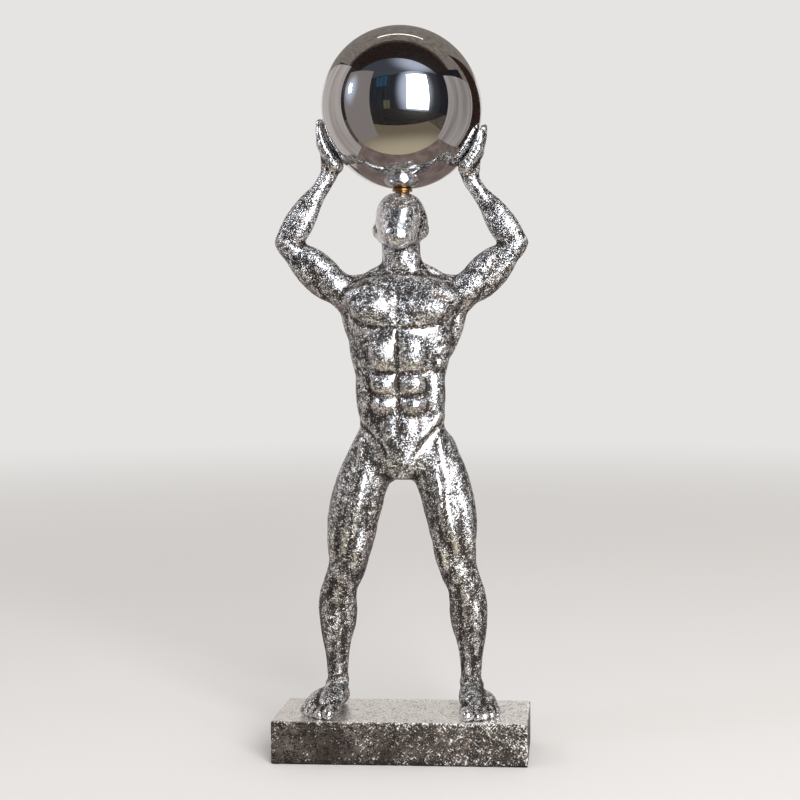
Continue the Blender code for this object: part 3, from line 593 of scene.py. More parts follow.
def carve(points, normals):
    """Pushes points in along their normals where a line passes them."""
    deepest = np.zeros(len(points))
    to_front = np.clip((-normals[:, 1] - 0.05) / 0.45, 0, 1)
    to_back = np.clip((normals[:, 1] - 0.05) / 0.45, 0, 1)
    for lines, facing, on_leg in (
        (FRONT_LINES, to_front, False),
        (BACK_LINES, to_back, False),
        (LEG_FRONT_LINES, to_front, True),
        (LEG_BACK_LINES, to_back, True),
    ):
        for depth, half_width, line in lines:
            for side in (-1, 1):
                if on_leg:
                    drawn = [(leg_middle(side, z).x + side * out, z) for out, z in line]
                else:
                    drawn = [(side * x + sway(z), z) for x, z in line]
                away, to_end = distance_to_line(points[:, [0, 2]], drawn)
                fade = np.clip(to_end / GROOVE_RUN_OUT, 0, 1)
                cut = depth * fade * np.exp(-((away / half_width) ** 2)) * facing
                deepest = np.maximum(deepest, cut)
    return points - normals * deepest[:, None]


# Mesh helpers


def new_object(name, data):
    made = bpy.data.objects.new(name, data)
    bpy.context.scene.collection.objects.link(made)
    return made


def mesh_from(bm, name):
    """A mesh that takes the working mesh's place."""
    mesh = bpy.data.meshes.new(name)
    bm.to_mesh(mesh)
    bm.free()
    return mesh


def baked(obj):
    """The object's mesh with its modifiers worked in, and the modifiers cleared."""
    bpy.context.view_layer.update()
    graph = bpy.context.evaluated_depsgraph_get()
    mesh = bpy.data.meshes.new_from_object(obj.evaluated_get(graph))
    obj.modifiers.clear()
    obj.data = mesh
    return mesh


def rows_of(items, name):
    """One vector of each item, as the rows of an array."""
    rows = np.empty(len(items) * 3, np.float32)
    items.foreach_get(name, rows)
    return rows.reshape(-1, 3).astype(float)


def coordinates(mesh):
    return rows_of(mesh.vertices, "co")


def vertex_normals(mesh):
    return rows_of(mesh.vertex_normals, "vector")


def set_coordinates(mesh, points):
    mesh.vertices.foreach_set("co", points.astype(np.float32).ravel())
    mesh.update()


def store(mesh, name, values):
    """Keeps one number for each point, for a material to read."""
    attribute = mesh.attributes.new(name, "FLOAT", "POINT")
    attribute.data.foreach_set("value", np.asarray(values, np.float32))


def smoothed(mesh, points, passes):
    """The points after each has moved halfway to the middle of its neighbours, several times over."""
    ends = np.empty(len(mesh.edges) * 2, np.int32)
    mesh.edges.foreach_get("vertices", ends)
    ends = ends.reshape(-1, 2)
    count = np.bincount(ends.ravel(), minlength=len(points))[:, None]
    for _ in range(passes):
        total = np.empty_like(points)
        for axis in range(3):
            forth = np.bincount(ends[:, 0], points[ends[:, 1], axis], len(points))
            back = np.bincount(ends[:, 1], points[ends[:, 0], axis], len(points))
            total[:, axis] = forth + back
        points = (points + total / count) / 2
    return points


def hollows(mesh, passes):
    """How far each point lies under the surface smoothed round it: above 0 in a hollow, below 0 on a ridge."""
    points = coordinates(mesh)
    return ((smoothed(mesh, points, passes) - points) * vertex_normals(mesh)).sum(1)


def uneven(points, spacing):
    """Smooth noise from -1 to 1 at each point, with about one hump to each spacing."""
    return np.array([noise.noise(Vector(p) / spacing) for p in points])


# Materials

# Sockets of a node that mixes colours
MIX_A, MIX_B, MIX_RESULT = 6, 7, 2

THIN_LEAF = "#88888B"
# Painted highlight: the white of the glints, which stand for folds of the figure's leaf catching the light
PAINTED_GLINT = "#F2F2F0"
BROWN_WASH = "#24150C"
DULL_BLOCK = "#77706A"
# Painted sheen: the paler colour of the block's top, where the light falls on it
PAINTED_SHEEN_TOP = "#F4EEE9"
TARNISH = "#7A5A3C"


def feed(tree, made, inputs):
    """Links each socket of a node to the output that it is fed from, or sets it to a number or a colour."""
    for key, value in dict(inputs).items():
        if isinstance(value, bpy.types.NodeSocket):
            tree.links.new(value, made.inputs[key])
        else:
            made.inputs[key].default_value = value


def node(tree, kind, output, inputs=(), **settings):
    """Adds a node with its settings and links, and gives one of its outputs."""
    made = tree.nodes.new(kind)
    for name, value in settings.items():
        setattr(made, name, value)
    feed(tree, made, inputs)
    return made.outputs[output]


def new_material(name):
    made = bpy.data.materials.new(name)
    made.use_nodes = True
    tree = made.node_tree
    return made, tree, tree.nodes["Principled BSDF"]


def per_mm(size):
    """The scale of a pattern whose features are size millimetres apart."""
    return 1 / (size * MM)


def cover(tree, total, parts, low, high, most=1.0):
    """How far a weighted sum of patterns covers a surface, from nothing at low to the most at high."""
    for part, weight in parts:
        total = node(tree, "ShaderNodeMath", "Value", {0: part, 1: weight, 2: total}, operation="MULTIPLY_ADD")
    inputs = {"Value": total, "From Min": low, "From Max": high, "To Max": most}
    return node(tree, "ShaderNodeMapRange", "Result", inputs)


def figure_leaf(settings):
    """Silver leaf laid over cast resin, washed dark and rubbed back. The eye sees bright metal that is smooth on
    the muscles' crowns, crumpled between them and peppered there with black pits and with white glints, which
    are painted highlights, and brown ground in the hollows."""
    made, tree, shader = new_material("antiqued silver leaf on cast resin")
    place = node(tree, "ShaderNodeTexCoord", "Object")
    hollow = node(tree, "ShaderNodeAttribute", "Fac", attribute_name="hollow")
    # Each noise is (size in mm, detail, roughness). The finest crumples of real leaf are about 0.4 mm, and are
    # drawn twice as coarse so that they show.
    noises = []
    for size, detail, roughness in ((1.05, 2, 0.6), (0.85, 1, 0.6), (3.4, 3, 0.65), (13, 3, 0.6), (8, 2, 0.6)):
        inputs = {"Vector": place, "Scale": per_mm(size), "Detail": detail, "Roughness": roughness}
        noises.append(node(tree, "ShaderNodeTexNoise", "Fac", inputs))
    flecks, grit, crumple, patches, stains = noises

    # Black pits crowd in patches and in the hollows. White glints lie between them, where a fold of the leaf
    # stands up: they are painted highlights, pale and dull, for folds that catch the light. Brown ground shows in
    # the hollows, and as a faint stain elsewhere.
    dark = cover(tree, flecks, ((patches, 0.4), (hollow, 0.24)), 0.727, 0.747)
    painted_glint = cover(tree, grit, ((crumple, 0.6), (hollow, 0.05)), 0.90, 0.94)
    earth = cover(tree, hollow, ((stains, 1.4),), 0.74, 1.15, 0.9)
    # The leaf is thinnest in its folds and in the hollows
    inputs = {0: hollow, 1: -1.2, 2: cover(tree, crumple, (), 0.4, 0.6)}
    thickness = node(tree, "ShaderNodeMath", "Value", inputs, operation="MULTIPLY_ADD", use_clamp=True)

    # The thin and bright leaf, the brown ground and the glints' painted highlights are laid on in turn
    surface = (*linear(THIN_LEAF), 1)
    for factor, shade in ((thickness, settings.leaf), (earth, settings.bole), (painted_glint, linear(PAINTED_GLINT))):
        inputs = {"Factor": factor, MIX_A: surface, MIX_B: (*shade, 1)}
        surface = node(tree, "ShaderNodeMix", MIX_RESULT, inputs, data_type="RGBA")
    inputs = {"Factor": earth, MIX_A: (*settings.patina, 1), MIX_B: (*linear(BROWN_WASH), 1)}
    wash = node(tree, "ShaderNodeMix", MIX_RESULT, inputs, data_type="RGBA")
    inputs = {"Factor": dark, MIX_A: surface, MIX_B: wash}
    surface = node(tree, "ShaderNodeMix", MIX_RESULT, inputs, data_type="RGBA")
    # The wash and the painted glints are dull, and the leaf is metal
    dull = node(tree, "ShaderNodeMath", "Value", {0: painted_glint, 1: 0.7, 2: dark}, operation="MULTIPLY_ADD")
    metal = node(tree, "ShaderNodeMapRange", "Result", {"Value": dull, "To Min": 1.0, "To Max": 0.15})
    inputs = {"Value": crumple, "From Min": 0.35, "From Max": 0.7, "To Min": 0.13, "To Max": 0.26}
    gloss = node(tree, "ShaderNodeMapRange", "Result", inputs)
    rough = node(tree, "ShaderNodeMath", "Value", {0: dull, 1: 0.25, 2: gloss}, operation="MULTIPLY_ADD")
    inputs = {"Value": hollow, "From Min": -0.6, "From Max": 0.1, "To Min": 0.2, "To Max": 1.0}
    rubbed = node(tree, "ShaderNodeMapRange", "Result", inputs)
    inputs = {"Height": crumple, "Strength": rubbed, "Distance": 0.7 * MM}
    relief = node(tree, "ShaderNodeBump", "Normal", inputs)
    inputs = {"Height": flecks, "Strength": rubbed, "Distance": 0.5 * MM, "Normal": relief}
    relief = node(tree, "ShaderNodeBump", "Normal", inputs)
    feed(tree, shader, {"Base Color": surface, "Metallic": metal, "Roughness": rough, "Normal": relief})
    return made


def plinth_leaf(settings):
    """Silver leaf over a cast block, dulled and rubbed. The eye sees a grey-brown satin metal with short scratched
    strokes that cross each other, painted white as glints, a top painted paler as a sheen from the light that
    falls on it, worn edges where more of the glinting strokes lie, and a foot darkened by wash and by a painted
    contact shadow."""
    made, tree, shader = new_material("rubbed silver leaf on cast block")
    place = node(tree, "ShaderNodeTexCoord", "Object")
    rim, foot, top = (
        node(tree, "ShaderNodeAttribute", "Fac", attribute_name=name) for name in ("rim", "foot", "top")
    )
    across = node(tree, "ShaderNodeSeparateXYZ", "X", {0: place})
    noises = []
    for size, detail, roughness in ((1.2, 2, 0.7), (5, 3, 0.7), (18, 3, 0.6)):
        inputs = {"Vector": place, "Scale": per_mm(size), "Detail": detail, "Roughness": roughness}
        noises.append(node(tree, "ShaderNodeTexNoise", "Fac", inputs))
    pits, blots, patches = noises
    # Two sets of strokes cross, each a noise that is drawn out along its own slant
    strokes = []
    for slant in (-40, 48):
        inputs = {"Vector": place, "Rotation": (0, math.radians(slant), 0)}
        slanted = node(tree, "ShaderNodeMapping", "Vector", inputs)
        drawn = node(tree, "ShaderNodeMapping", "Vector", {"Vector": slanted, "Scale": (0.2, 1, 1)})
        inputs = {"Vector": drawn, "Scale": per_mm(0.95), "Detail": 2, "Roughness": 0.6}
        strokes.append(node(tree, "ShaderNodeTexNoise", "Fac", inputs))
    stroke = node(tree, "ShaderNodeMath", "Value", {0: strokes[0], 1: strokes[1]}, operation="MAXIMUM")
    # They are scratches, painted white as the glints that they catch, and crowd in patches, towards the figure's
    # left and along the edges. Dark wash lies in pits and blots, least on the top, whose paler colour is a painted
    # sheen, and most of all at the foot, where the darkening is also a painted contact shadow.
    bright = cover(tree, stroke, ((patches, 0.18), (rim, 0.1), (across, 0.5)), 0.725, 0.765)
    dark = cover(tree, pits, ((blots, 0.6), (foot, 0.22), (top, -0.11)), 0.80, 0.825)
    thickness = cover(tree, patches, (), 0.35, 0.65)

    surface = (*linear(DULL_BLOCK), 1)
    # Laid on in turn: the leaf, the top's painted sheen, the scratches' painted glints, and the dark wash, which at
    # the foot is also a painted contact shadow
    for factor, shade in (
        (thickness, settings.leaf),
        (top, linear(PAINTED_SHEEN_TOP)),
        (bright, settings.scratch_glint),
        (dark, settings.patina),
    ):
        inputs = {"Factor": factor, MIX_A: surface, MIX_B: (*shade, 1)}
        surface = node(tree, "ShaderNodeMix", MIX_RESULT, inputs, data_type="RGBA")
    dull = node(tree, "ShaderNodeMath", "Value", {0: bright, 1: 0.8, 2: dark}, operation="MULTIPLY_ADD")
    metal = node(tree, "ShaderNodeMapRange", "Result", {"Value": dull, "To Min": 0.95, "To Max": 0.1})
    rough = node(tree, "ShaderNodeMapRange", "Result", {"Value": dull, "To Min": 0.26, "To Max": 0.45})
    relief = node(tree, "ShaderNodeBump", "Normal", {"Height": stroke, "Strength": 0.5, "Distance": 0.4 * MM})
    inputs = {"Height": pits, "Strength": 0.5, "Distance": 0.4 * MM, "Normal": relief}
    relief = node(tree, "ShaderNodeBump", "Normal", inputs)
    feed(tree, shader, {"Base Color": surface, "Metallic": metal, "Roughness": rough, "Normal": relief})
    return made


def mirror_steel(settings):
    """Stainless steel, pressed and mirror-polished. The eye sees the room in it, a little veiled by handling."""
    made, tree, shader = new_material("mirror-polished stainless steel")
    place = node(tree, "ShaderNodeTexCoord", "Object")
    inputs = {"Vector": place, "Scale": per_mm(30), "Detail": 4, "Roughness": 0.6}
    smears = node(tree, "ShaderNodeTexNoise", "Fac", inputs)
    inputs = {"Value": smears, "From Min": 0.35, "From Max": 0.7, "To Min": 0.015, "To Max": 0.04}
    haze = node(tree, "ShaderNodeMapRange", "Result", inputs)
    inputs = {"Height": smears, "Strength": 0.02, "Distance": 1 * MM}
    relief = node(tree, "ShaderNodeBump", "Normal", inputs)
    feed(tree, shader, {"Base Color": (*settings.steel, 1), "Metallic": 1.0, "Roughness": haze})
    feed(tree, shader, {"Coat Weight": 0.5, "Coat Roughness": 0.3, "Normal": relief})
    return made


def turned_brass(settings):
    """Brass, turned on a lathe and polished. The eye sees warm gold with fine rings from the tool."""
    made, tree, shader = new_material("turned brass")
    place = node(tree, "ShaderNodeTexCoord", "Object")
    inputs = {"Vector": place, "Scale": per_mm(0.9), "Detail": 1.0}
    rings = node(tree, "ShaderNodeTexWave", "Fac", inputs, bands_direction="Z")
    inputs = {"Vector": place, "Scale": per_mm(1.6), "Detail": 3}
    tarnish = node(tree, "ShaderNodeTexNoise", "Fac", inputs)
    inputs = {"Factor": tarnish, MIX_A: (*settings.brass, 1), MIX_B: (*linear(TARNISH), 1)}
    surface = node(tree, "ShaderNodeMix", MIX_RESULT, inputs, data_type="RGBA")
    inputs = {"Value": tarnish, "From Min": 0.3, "From Max": 0.7, "To Min": 0.2, "To Max": 0.36}
    rough = node(tree, "ShaderNodeMapRange", "Result", inputs)
    relief = node(tree, "ShaderNodeBump", "Normal", {"Height": rings, "Strength": 0.2, "Distance": 0.1 * MM})
    feed(tree, shader, {"Base Color": surface, "Metallic": 1.0, "Roughness": rough, "Normal": relief})
    return made


# The pieces

# The collar's seat on the brow is flat to this share of the collar's radius
SEAT_SHARE = 1.5

# Smoothings that tell hollows from ridges: (passes, the depth in the figure's units that counts as 1)
NEAR_HOLLOWS = (35, 0.22)
FAR_HOLLOWS = (140, 0.88)
HOLLOW_RANGE = (-1, 0.4)

# Where the leaf is made cleaner and brighter all over, and where darker, in the figure's units: the round head
# down from the crown, and the shin from below the knee to the instep
BRIGHTER_HEAD = 0.8
HEAD_DEPTH = 46
HEAD_HALF_WIDTH = 30
SHIN_DARKENING = 0.1
SHIN_TOP = 120
SHIN_FADE = 60
INSTEP_TOP = 14
SHORT_FADE = 14

# Spacing of the leaf's crumples, and the depth of the small ones as a share of the broad ones
BROAD_LUMPS = 4.5
SMALL_LUMPS = 2.1
SMALL_LUMPS_SHARE = 0.6

# Plinth: spacing of the dents, and how far the marks of each kind reach: the worn rim, the top's painted sheen,
# and the foot's dark wash with its painted contact shadow
DENT_SPACINGS = (7 * MM, 2.5 * MM)
SMALL_DENTS_SHARE = 0.6
DENT_REACH = 1.5 * MM
RIM_REACH = 2.5 * MM
TOP_REACH = 0.6 * MM
FOOT_WASH_AND_SHADOW_REACH = 2.0 * MM

# Collar
COLLAR_RIM_HEIGHT = 2.9 * MM
COLLAR_STEP_HEIGHT = 1.5 * MM
COLLAR_STEM_SHARE = 0.72
ROUND_SIDES = 96
BALL_SUBDIVISIONS = 7


def keep_clear(points):
    """Flattens the soles and the collar's seat, and lets the palms follow the ball with a small gap."""
    seat_radius = (COLLAR_HIGH.x - COLLAR_LOW.x) / 2 / UNIT
    over_head = np.hypot(points[:, 0], points[:, 1]) < seat_radius * SEAT_SHARE
    points[:, 2] = np.where(over_head, np.minimum(points[:, 2], CROWN), points[:, 2])
    points[:, 2] = np.maximum(points[:, 2], 0.0)
    centre = np.array((0, 0, (BALL_CENTRE.z - FIGURE_LOW.z) / UNIT))
    clear = (BALL_RADIUS + SEAT_GAP) / UNIT
    away = points - centre
    distance = np.linalg.norm(away, axis=1)
    inside = distance < clear
    points[inside] = centre + away[inside] * (clear / distance[inside])[:, None]
    return points


class STATUE_OT_figure(bpy.types.Operator):
    """Builds the muscular figure in one skin and leafs it"""

    bl_idname = "statue.figure"
    bl_label = "Figure"

    def execute(self, context):
        settings = context.scene.statue_figure
        whole = bmesh.new()
        for build, side in ((torso, 0), (head, 0), (arm, -1), (arm, 1), (leg, -1), (leg, 1)):
            bm = bmesh.new()
            build(bm, side)
            whole.from_mesh(mesh_from(bm, "limb"))
        obj = new_object("leafed_figure", mesh_from(whole, "leafed_figure"))
        skin = obj.modifiers.new("one skin", "REMESH")
        skin.mode = "VOXEL"
        skin.voxel_size = settings.grain / UNIT
        mesh = baked(obj)
        set_coordinates(mesh, filleted(mesh, settings.grain / UNIT))
        points = coordinates(mesh)
        carved = carve(points, vertex_normals(mesh))
        points = points + settings.grooves * (carved - points)
        set_coordinates(mesh, points)
        # Two smoothings are compared, so that a limb's own roundness counts for nothing
        near, far = (hollows(mesh, passes) / depth for passes, depth in (NEAR_HOLLOWS, FAR_HOLLOWS))
        # The round head and the insteps are made cleaner, brighter and smoother, and the shins darker
        height = points[:, 2]
        head_top = np.clip((height - CROWN + HEAD_DEPTH) / SHORT_FADE, 0, 1)
        head_top = head_top * (np.abs(points[:, 0]) < HEAD_HALF_WIDTH)
        shin = np.clip((SHIN_TOP - height) / SHIN_FADE, 0, 1)
        shin = shin * np.clip((height - INSTEP_TOP) / SHORT_FADE, -2, 1)
        store(mesh, "hollow", np.clip(near - far - BRIGHTER_HEAD * head_top + SHIN_DARKENING * shin, *HOLLOW_RANGE))
        depth = settings.lumps / UNIT
        broad = depth * uneven(points, BROAD_LUMPS)
        small = depth * SMALL_LUMPS_SHARE * uneven(points, SMALL_LUMPS)
        set_coordinates(mesh, keep_clear(points + vertex_normals(mesh) * (broad + small)[:, None]))
        lighter = obj.modifiers.new("fewer faces", "DECIMATE")
        lighter.ratio = settings.triangles / sum(len(p.vertices) - 2 for p in mesh.polygons)
        lighter.use_collapse_triangulate = True
        mesh = baked(obj)
        set_coordinates(mesh, keep_clear(coordinates(mesh)))
        mesh.transform(Matrix.Translation((0, 0, FIGURE_LOW.z)) @ Matrix.Scale(UNIT, 4))
        mesh.shade_smooth()
        mesh.materials.append(figure_leaf(settings))
        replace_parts(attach(obj, "root"), "figure")
        return {"FINISHED"}


class STATUE_OT_plinth(bpy.types.Operator):
    """Builds the leafed block with its worn edges"""

    bl_idname = "statue.plinth"
    bl_label = "Plinth"

    def execute(self, context):
        settings = context.scene.statue_plinth
        size = PLINTH_HIGH - PLINTH_LOW
        bm = bmesh.new()
        bmesh.ops.create_cube(bm, size=1.0)
        bmesh.ops.scale(bm, vec=size, verts=bm.verts)
        bmesh.ops.translate(bm, vec=(PLINTH_LOW + PLINTH_HIGH) / 2, verts=bm.verts)
        for axis in range(3):
            along = [e for e in bm.edges if abs((e.verts[0].co - e.verts[1].co)[axis]) > size[axis] * 0.99]
            cuts = round(size[axis] / settings.cell) - 1
            bmesh.ops.subdivide_edges(bm, edges=along, cuts=cuts, use_grid_fill=True)
        sharp = [e for e in bm.edges if e.calc_face_angle() > math.radians(45)]
        bmesh.ops.bevel(
            bm, geom=sharp, offset=settings.edge_round, segments=3, affect="EDGES", profile=0.5, material=-1
        )
        mesh = mesh_from(bm, "leafed_plinth")
        points = coordinates(mesh)
        from_faces = np.minimum(points - np.array(PLINTH_LOW), np.array(PLINTH_HIGH) - points)
        from_edge = np.sort(from_faces, axis=1)[:, 1]
        broad, small = (uneven(points, spacing) for spacing in DENT_SPACINGS)
        worn = settings.dents * np.clip(broad + SMALL_DENTS_SHARE * small, 0, 1) * np.exp(-from_edge / DENT_REACH)
        points -= vertex_normals(mesh) * worn[:, None]
        points[:, 2] = np.maximum(points[:, 2], PLINTH_LOW.z)
        set_coordinates(mesh, points)
        store(mesh, "rim", np.exp(-from_edge / RIM_REACH))
        # The top face, which is painted paler as a sheen and carries fewer dark pits
        store(mesh, "top", np.clip((points[:, 2] - PLINTH_HIGH.z) / TOP_REACH + 1, 0, 1))
        # Darkening that fades up from the foot: dark wash and a painted contact shadow
        store(mesh, "foot", np.exp(-(points[:, 2] - PLINTH_LOW.z) / FOOT_WASH_AND_SHADOW_REACH))
        mesh.shade_smooth()
        mesh.materials.append(plinth_leaf(settings))
        obj = new_object("leafed_plinth", mesh)
        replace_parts(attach(obj, "root"), "plinth")
        return {"FINISHED"}


class STATUE_OT_collar(bpy.types.Operator):
    """Turns the stepped brass collar between head and ball"""

    bl_idname = "statue.collar"
    bl_label = "Collar"

    def execute(self, context):
        settings = context.scene.statue_ball
        flange = COLLAR_HIGH.x
        stem = flange * COLLAR_STEM_SHARE
        base = COLLAR_LOW.z
        clear = BALL_RADIUS + SEAT_GAP
        top = base + COLLAR_RIM_HEIGHT
        step = base + COLLAR_STEP_HEIGHT
        profile = [(0, base), (stem, base), (stem, step), (flange, step), (flange, top)]
        dish = [flange * portion for portion in (0.93, 0.75, 0.55, 0.35, 0.18, 0)]
        profile += [(r, BALL_CENTRE.z - math.sqrt(clear * clear - r * r)) for r in dish]
        bm = bmesh.new()
        chain = [bm.verts.new((r, 0, z)) for r, z in profile]
        edges = [bm.edges.new(pair) for pair in zip(chain, chain[1:])]
        bmesh.ops.spin(
            bm,
            geom=chain + edges,
            axis=(0, 0, 1),
            cent=(0, 0, 0),
            steps=ROUND_SIDES,
            angle=math.tau,
            use_merge=True,
        )
        bmesh.ops.remove_doubles(bm, verts=bm.verts, dist=0.001 * MM)
        bmesh.ops.recalc_face_normals(bm, faces=bm.faces)
        corners = [e for e in bm.edges if e.calc_face_angle() > math.radians(50)]
        bmesh.ops.bevel(
            bm, geom=corners, offset=settings.collar_round, segments=3, affect="EDGES", profile=0.5, material=-1
        )
        mesh = mesh_from(bm, "brass_collar")
        mesh.shade_smooth()
        mesh.materials.append(turned_brass(settings))
        obj = new_object("brass_collar", mesh)
        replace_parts(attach(obj, "root"), "collar")
        return {"FINISHED"}


class STATUE_OT_ball(bpy.types.Operator):
    """Builds the mirror-polished ball"""

    bl_idname = "statue.ball"
    bl_label = "Ball"

    def execute(self, context):
        settings = context.scene.statue_ball
        bm = bmesh.new()
        bmesh.ops.create_icosphere(bm, subdivisions=BALL_SUBDIVISIONS, radius=BALL_RADIUS)
        bmesh.ops.translate(bm, vec=BALL_CENTRE, verts=bm.verts)
        mesh = mesh_from(bm, "steel_ball")
        mesh.shade_smooth()
        mesh.materials.append(mirror_steel(settings))
        obj = new_object("steel_ball", mesh)
        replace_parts(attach(obj, "root"), "ball")
        return {"FINISHED"}


# Studio

CAMERA_PLACE = Vector((0.1248, -0.9026, 0.3050))
CAMERA_YAW = math.radians(2.46)
CAMERA_PITCH = math.radians(2.23)
CAMERA_LENS = 54.0
CAMERA_SENSOR = 36.0
CAMERA_SHIFT = -0.1459
CAMERA_CLIP = 0.01

BACKDROP_STRENGTH = 0.88
FLOOR_RADIUS = 4.0
# The floor's paint fades into the light of the surroundings between these distances
FLOOR_FADE = (0.7, 3.4)

# Softboxes of (name, place, height that they face, width, height, share of the window's power, colour)
SOFTBOXES = (
    ("window", (1.0, -1.75, 1.04), 1.04, 1.1, 1.85, 1.0, "#FFFFFF"),
    ("lamp", (-0.47, -0.205, 0.646), 0.488, 0.035, 0.085, 0.006, "#EAF1FF"),
)

# Cards that only reflections see: pale screens that stand on the table beside the statue, and the dim room in
# front of it. An upright card is (name, start, end, low, high, colour), with its start and end as x and y.
SCREENS = (
    ("left_screen", (-0.50, -0.07), (-0.60, 0.80), 0, 0.90, "#B7AFAA"),
    ("right_screen", (0.57, -0.18), (0.75, 0.47), 0, 0.88, "#ABA4A0"),
    ("right_door", (0.80, 0.52), (2.6, 8.0), 0, 1.6, "#2E201A"),
    ("front_wall", (-2.2, -2.6), (2.2, -2.6), 0, 2.3, "#2A2C32"),
    ("front_board", (-1.4, -2.5), (-0.6, -2.5), 1.4, 2.15, "#2C4A60"),
    ("front_cabinet", (-0.8, -2.5), (-0.38, -2.5), 0, 0.5, "#5A5846"),
    ("left_wall", (-2.2, -2.6), (-2.2, 1.5), 0, 2.3, "#2B2927"),
    ("right_wall", (2.2, -2.6), (2.2, 1.0), 0, 2.3, "#1B1B22"),
)
# A level card is (name, low corner, high corner, height, colour, strength), with its corners as x and y
LEVELS = (
    ("ceiling_gap", (-2.2, -1.05), (2.2, -0.02), 2.3, "#2A211E", 1.0),
    ("ceiling_beam", (-2.2, -0.02), (2.2, 0.12), 2.3, "#4E423C", 1.0),
    ("ceiling_back", (-4.0, 0.12), (4.0, 4.6), 2.3, "#877F77", 1.0),
    ("ceiling_lamp", (-0.66, 0.60), (0.43, 0.66), 2.28, "#FFF8EC", 3.0),
    ("table_top", (-0.6, -0.14), (0.8, 3.0), 0.0006, "#7F706A", 1.0),
    ("floor_front", (-2.2, -2.6), (2.2, -0.74), 0.0002, "#2C2A28", 1.0),
    ("floor_sides", (-2.2, -0.74), (2.2, 1.5), 0.0003, "#5A5149", 1.0),
)
# A glowing card is (name, corner, along, up, centre of the glow, its flattening, inner and outer radius, colour,
# edge colour)
GLOWS = (
    ("lamp_screen", (-0.56, -0.14, 0), (0.265, -0.275, 0), (0, 0, 0.87), (-0.48, -0.215, 0.65), (1, 1, 0.6),
     0.02, 0.13, "#C9D6EA", "#8F8783"),
    ("window_wall", (-0.36, -2.62, -0.35), (2.8, 1.6, 0), (0, 0, 2.64), (0.86, -1.92, 1.15), (1, 1, 0.6),
     0.45, 1.25, "#C3CEE2", "#22252C"),
    ("ceiling_front", (-2.2, -2.6, 2.3), (4.4, 0, 0), (0, 1.55, 0), (0.80, -1.15, 2.3), (0.8, 1, 1),
     0.1, 1.2, "#C6D0E2", "#474A51"),
    ("floor_near", (-0.62, -0.74, 0.0005), (1.44, 0, 0), (0, 0.60, 0), (0.05, -0.10, 0), (0.6, 1, 1),
     0.05, 0.5, "#C4B79B", "#7A6E5C"),
)


def light_material(name):
    """A material that gives light and mirrors nothing."""
    made, tree, shader = new_material(name)
    feed(tree, shader, {"Base Color": (0, 0, 0, 1), "Specular IOR Level": 0.0})
    return made, tree, shader


def glow(name, shade, strength):
    """A card's light, in soft upright bands, which is part of the studio."""
    made, tree, shader = light_material(name)
    place = node(tree, "ShaderNodeTexCoord", "Object")
    upright = node(tree, "ShaderNodeMapping", "Vector", {"Vector": place, "Scale": (1, 1, 0.1)})
    bands = node(tree, "ShaderNodeTexNoise", "Fac", {"Vector": upright, "Scale": per_mm(130), "Detail": 3})
    inputs = {"Value": bands, "From Min": 0.35, "From Max": 0.65}
    inputs |= {"To Min": 0.7 * strength, "To Max": 1.3 * strength}
    power = node(tree, "ShaderNodeMapRange", "Result", inputs)
    feed(tree, shader, {"Emission Color": (*linear(shade), 1), "Emission Strength": power})
    return made


def round_glow(name, centre, flatten, inner, outer, shade, edge_shade):
    """The glow round a light, which fades from its colour to the wall's. flatten scales each axis."""
    made, tree, shader = light_material(name)
    place = node(tree, "ShaderNodeTexCoord", "Object")
    away = node(tree, "ShaderNodeVectorMath", "Vector", {0: place, 1: centre}, operation="SUBTRACT")
    away = node(tree, "ShaderNodeVectorMath", "Vector", {0: away, 1: flatten}, operation="MULTIPLY")
    reach = node(tree, "ShaderNodeVectorMath", "Value", {0: away}, operation="LENGTH")
    inputs = {"Value": reach, "From Min": inner, "From Max": outer}
    fade = node(tree, "ShaderNodeMapRange", "Result", inputs, interpolation_type="SMOOTHERSTEP")
    inputs = {"Factor": fade, MIX_A: (*linear(shade), 1), MIX_B: (*linear(edge_shade), 1)}
    light = node(tree, "ShaderNodeMix", MIX_RESULT, inputs, data_type="RGBA")
    feed(tree, shader, {"Emission Color": light, "Emission Strength": 1.0})
    return made


def card(name, corner, along, up, material):
    """A flat card with one corner and two sides given, that only reflections see."""
    corner = Vector(corner)
    along = Vector(along)
    up = Vector(up)
    bm = bmesh.new()
    bmesh.ops.create_grid(bm, x_segments=1, y_segments=1, size=0.5)
    turn = Matrix((along, up, along.cross(up).normalized())).transposed().to_4x4()
    turn.translation = corner + (along + up) / 2
    bmesh.ops.transform(bm, matrix=turn, verts=bm.verts)
    mesh = mesh_from(bm, name)
    mesh.materials.append(material)
    obj = new_object(name, mesh)
    obj.visible_camera = False
    obj.visible_diffuse = False
    obj.visible_shadow = False


def aim(obj, place, ahead):
    """Puts a lamp or camera in its place, looking ahead."""
    obj.location = place
    obj.rotation_mode = "QUATERNION"
    obj.rotation_quaternion = ahead.to_track_quat("-Z", "Y")


def softbox(name, place, facing_height, wide, tall, power, shade):
    light = bpy.data.lights.new(name, "AREA")
    light.shape = "RECTANGLE"
    light.size = wide
    light.size_y = tall
    light.energy = power
    light.color = linear(shade)
    aim(new_object(name, light), place, Vector((0, 0, facing_height)) - Vector(place))


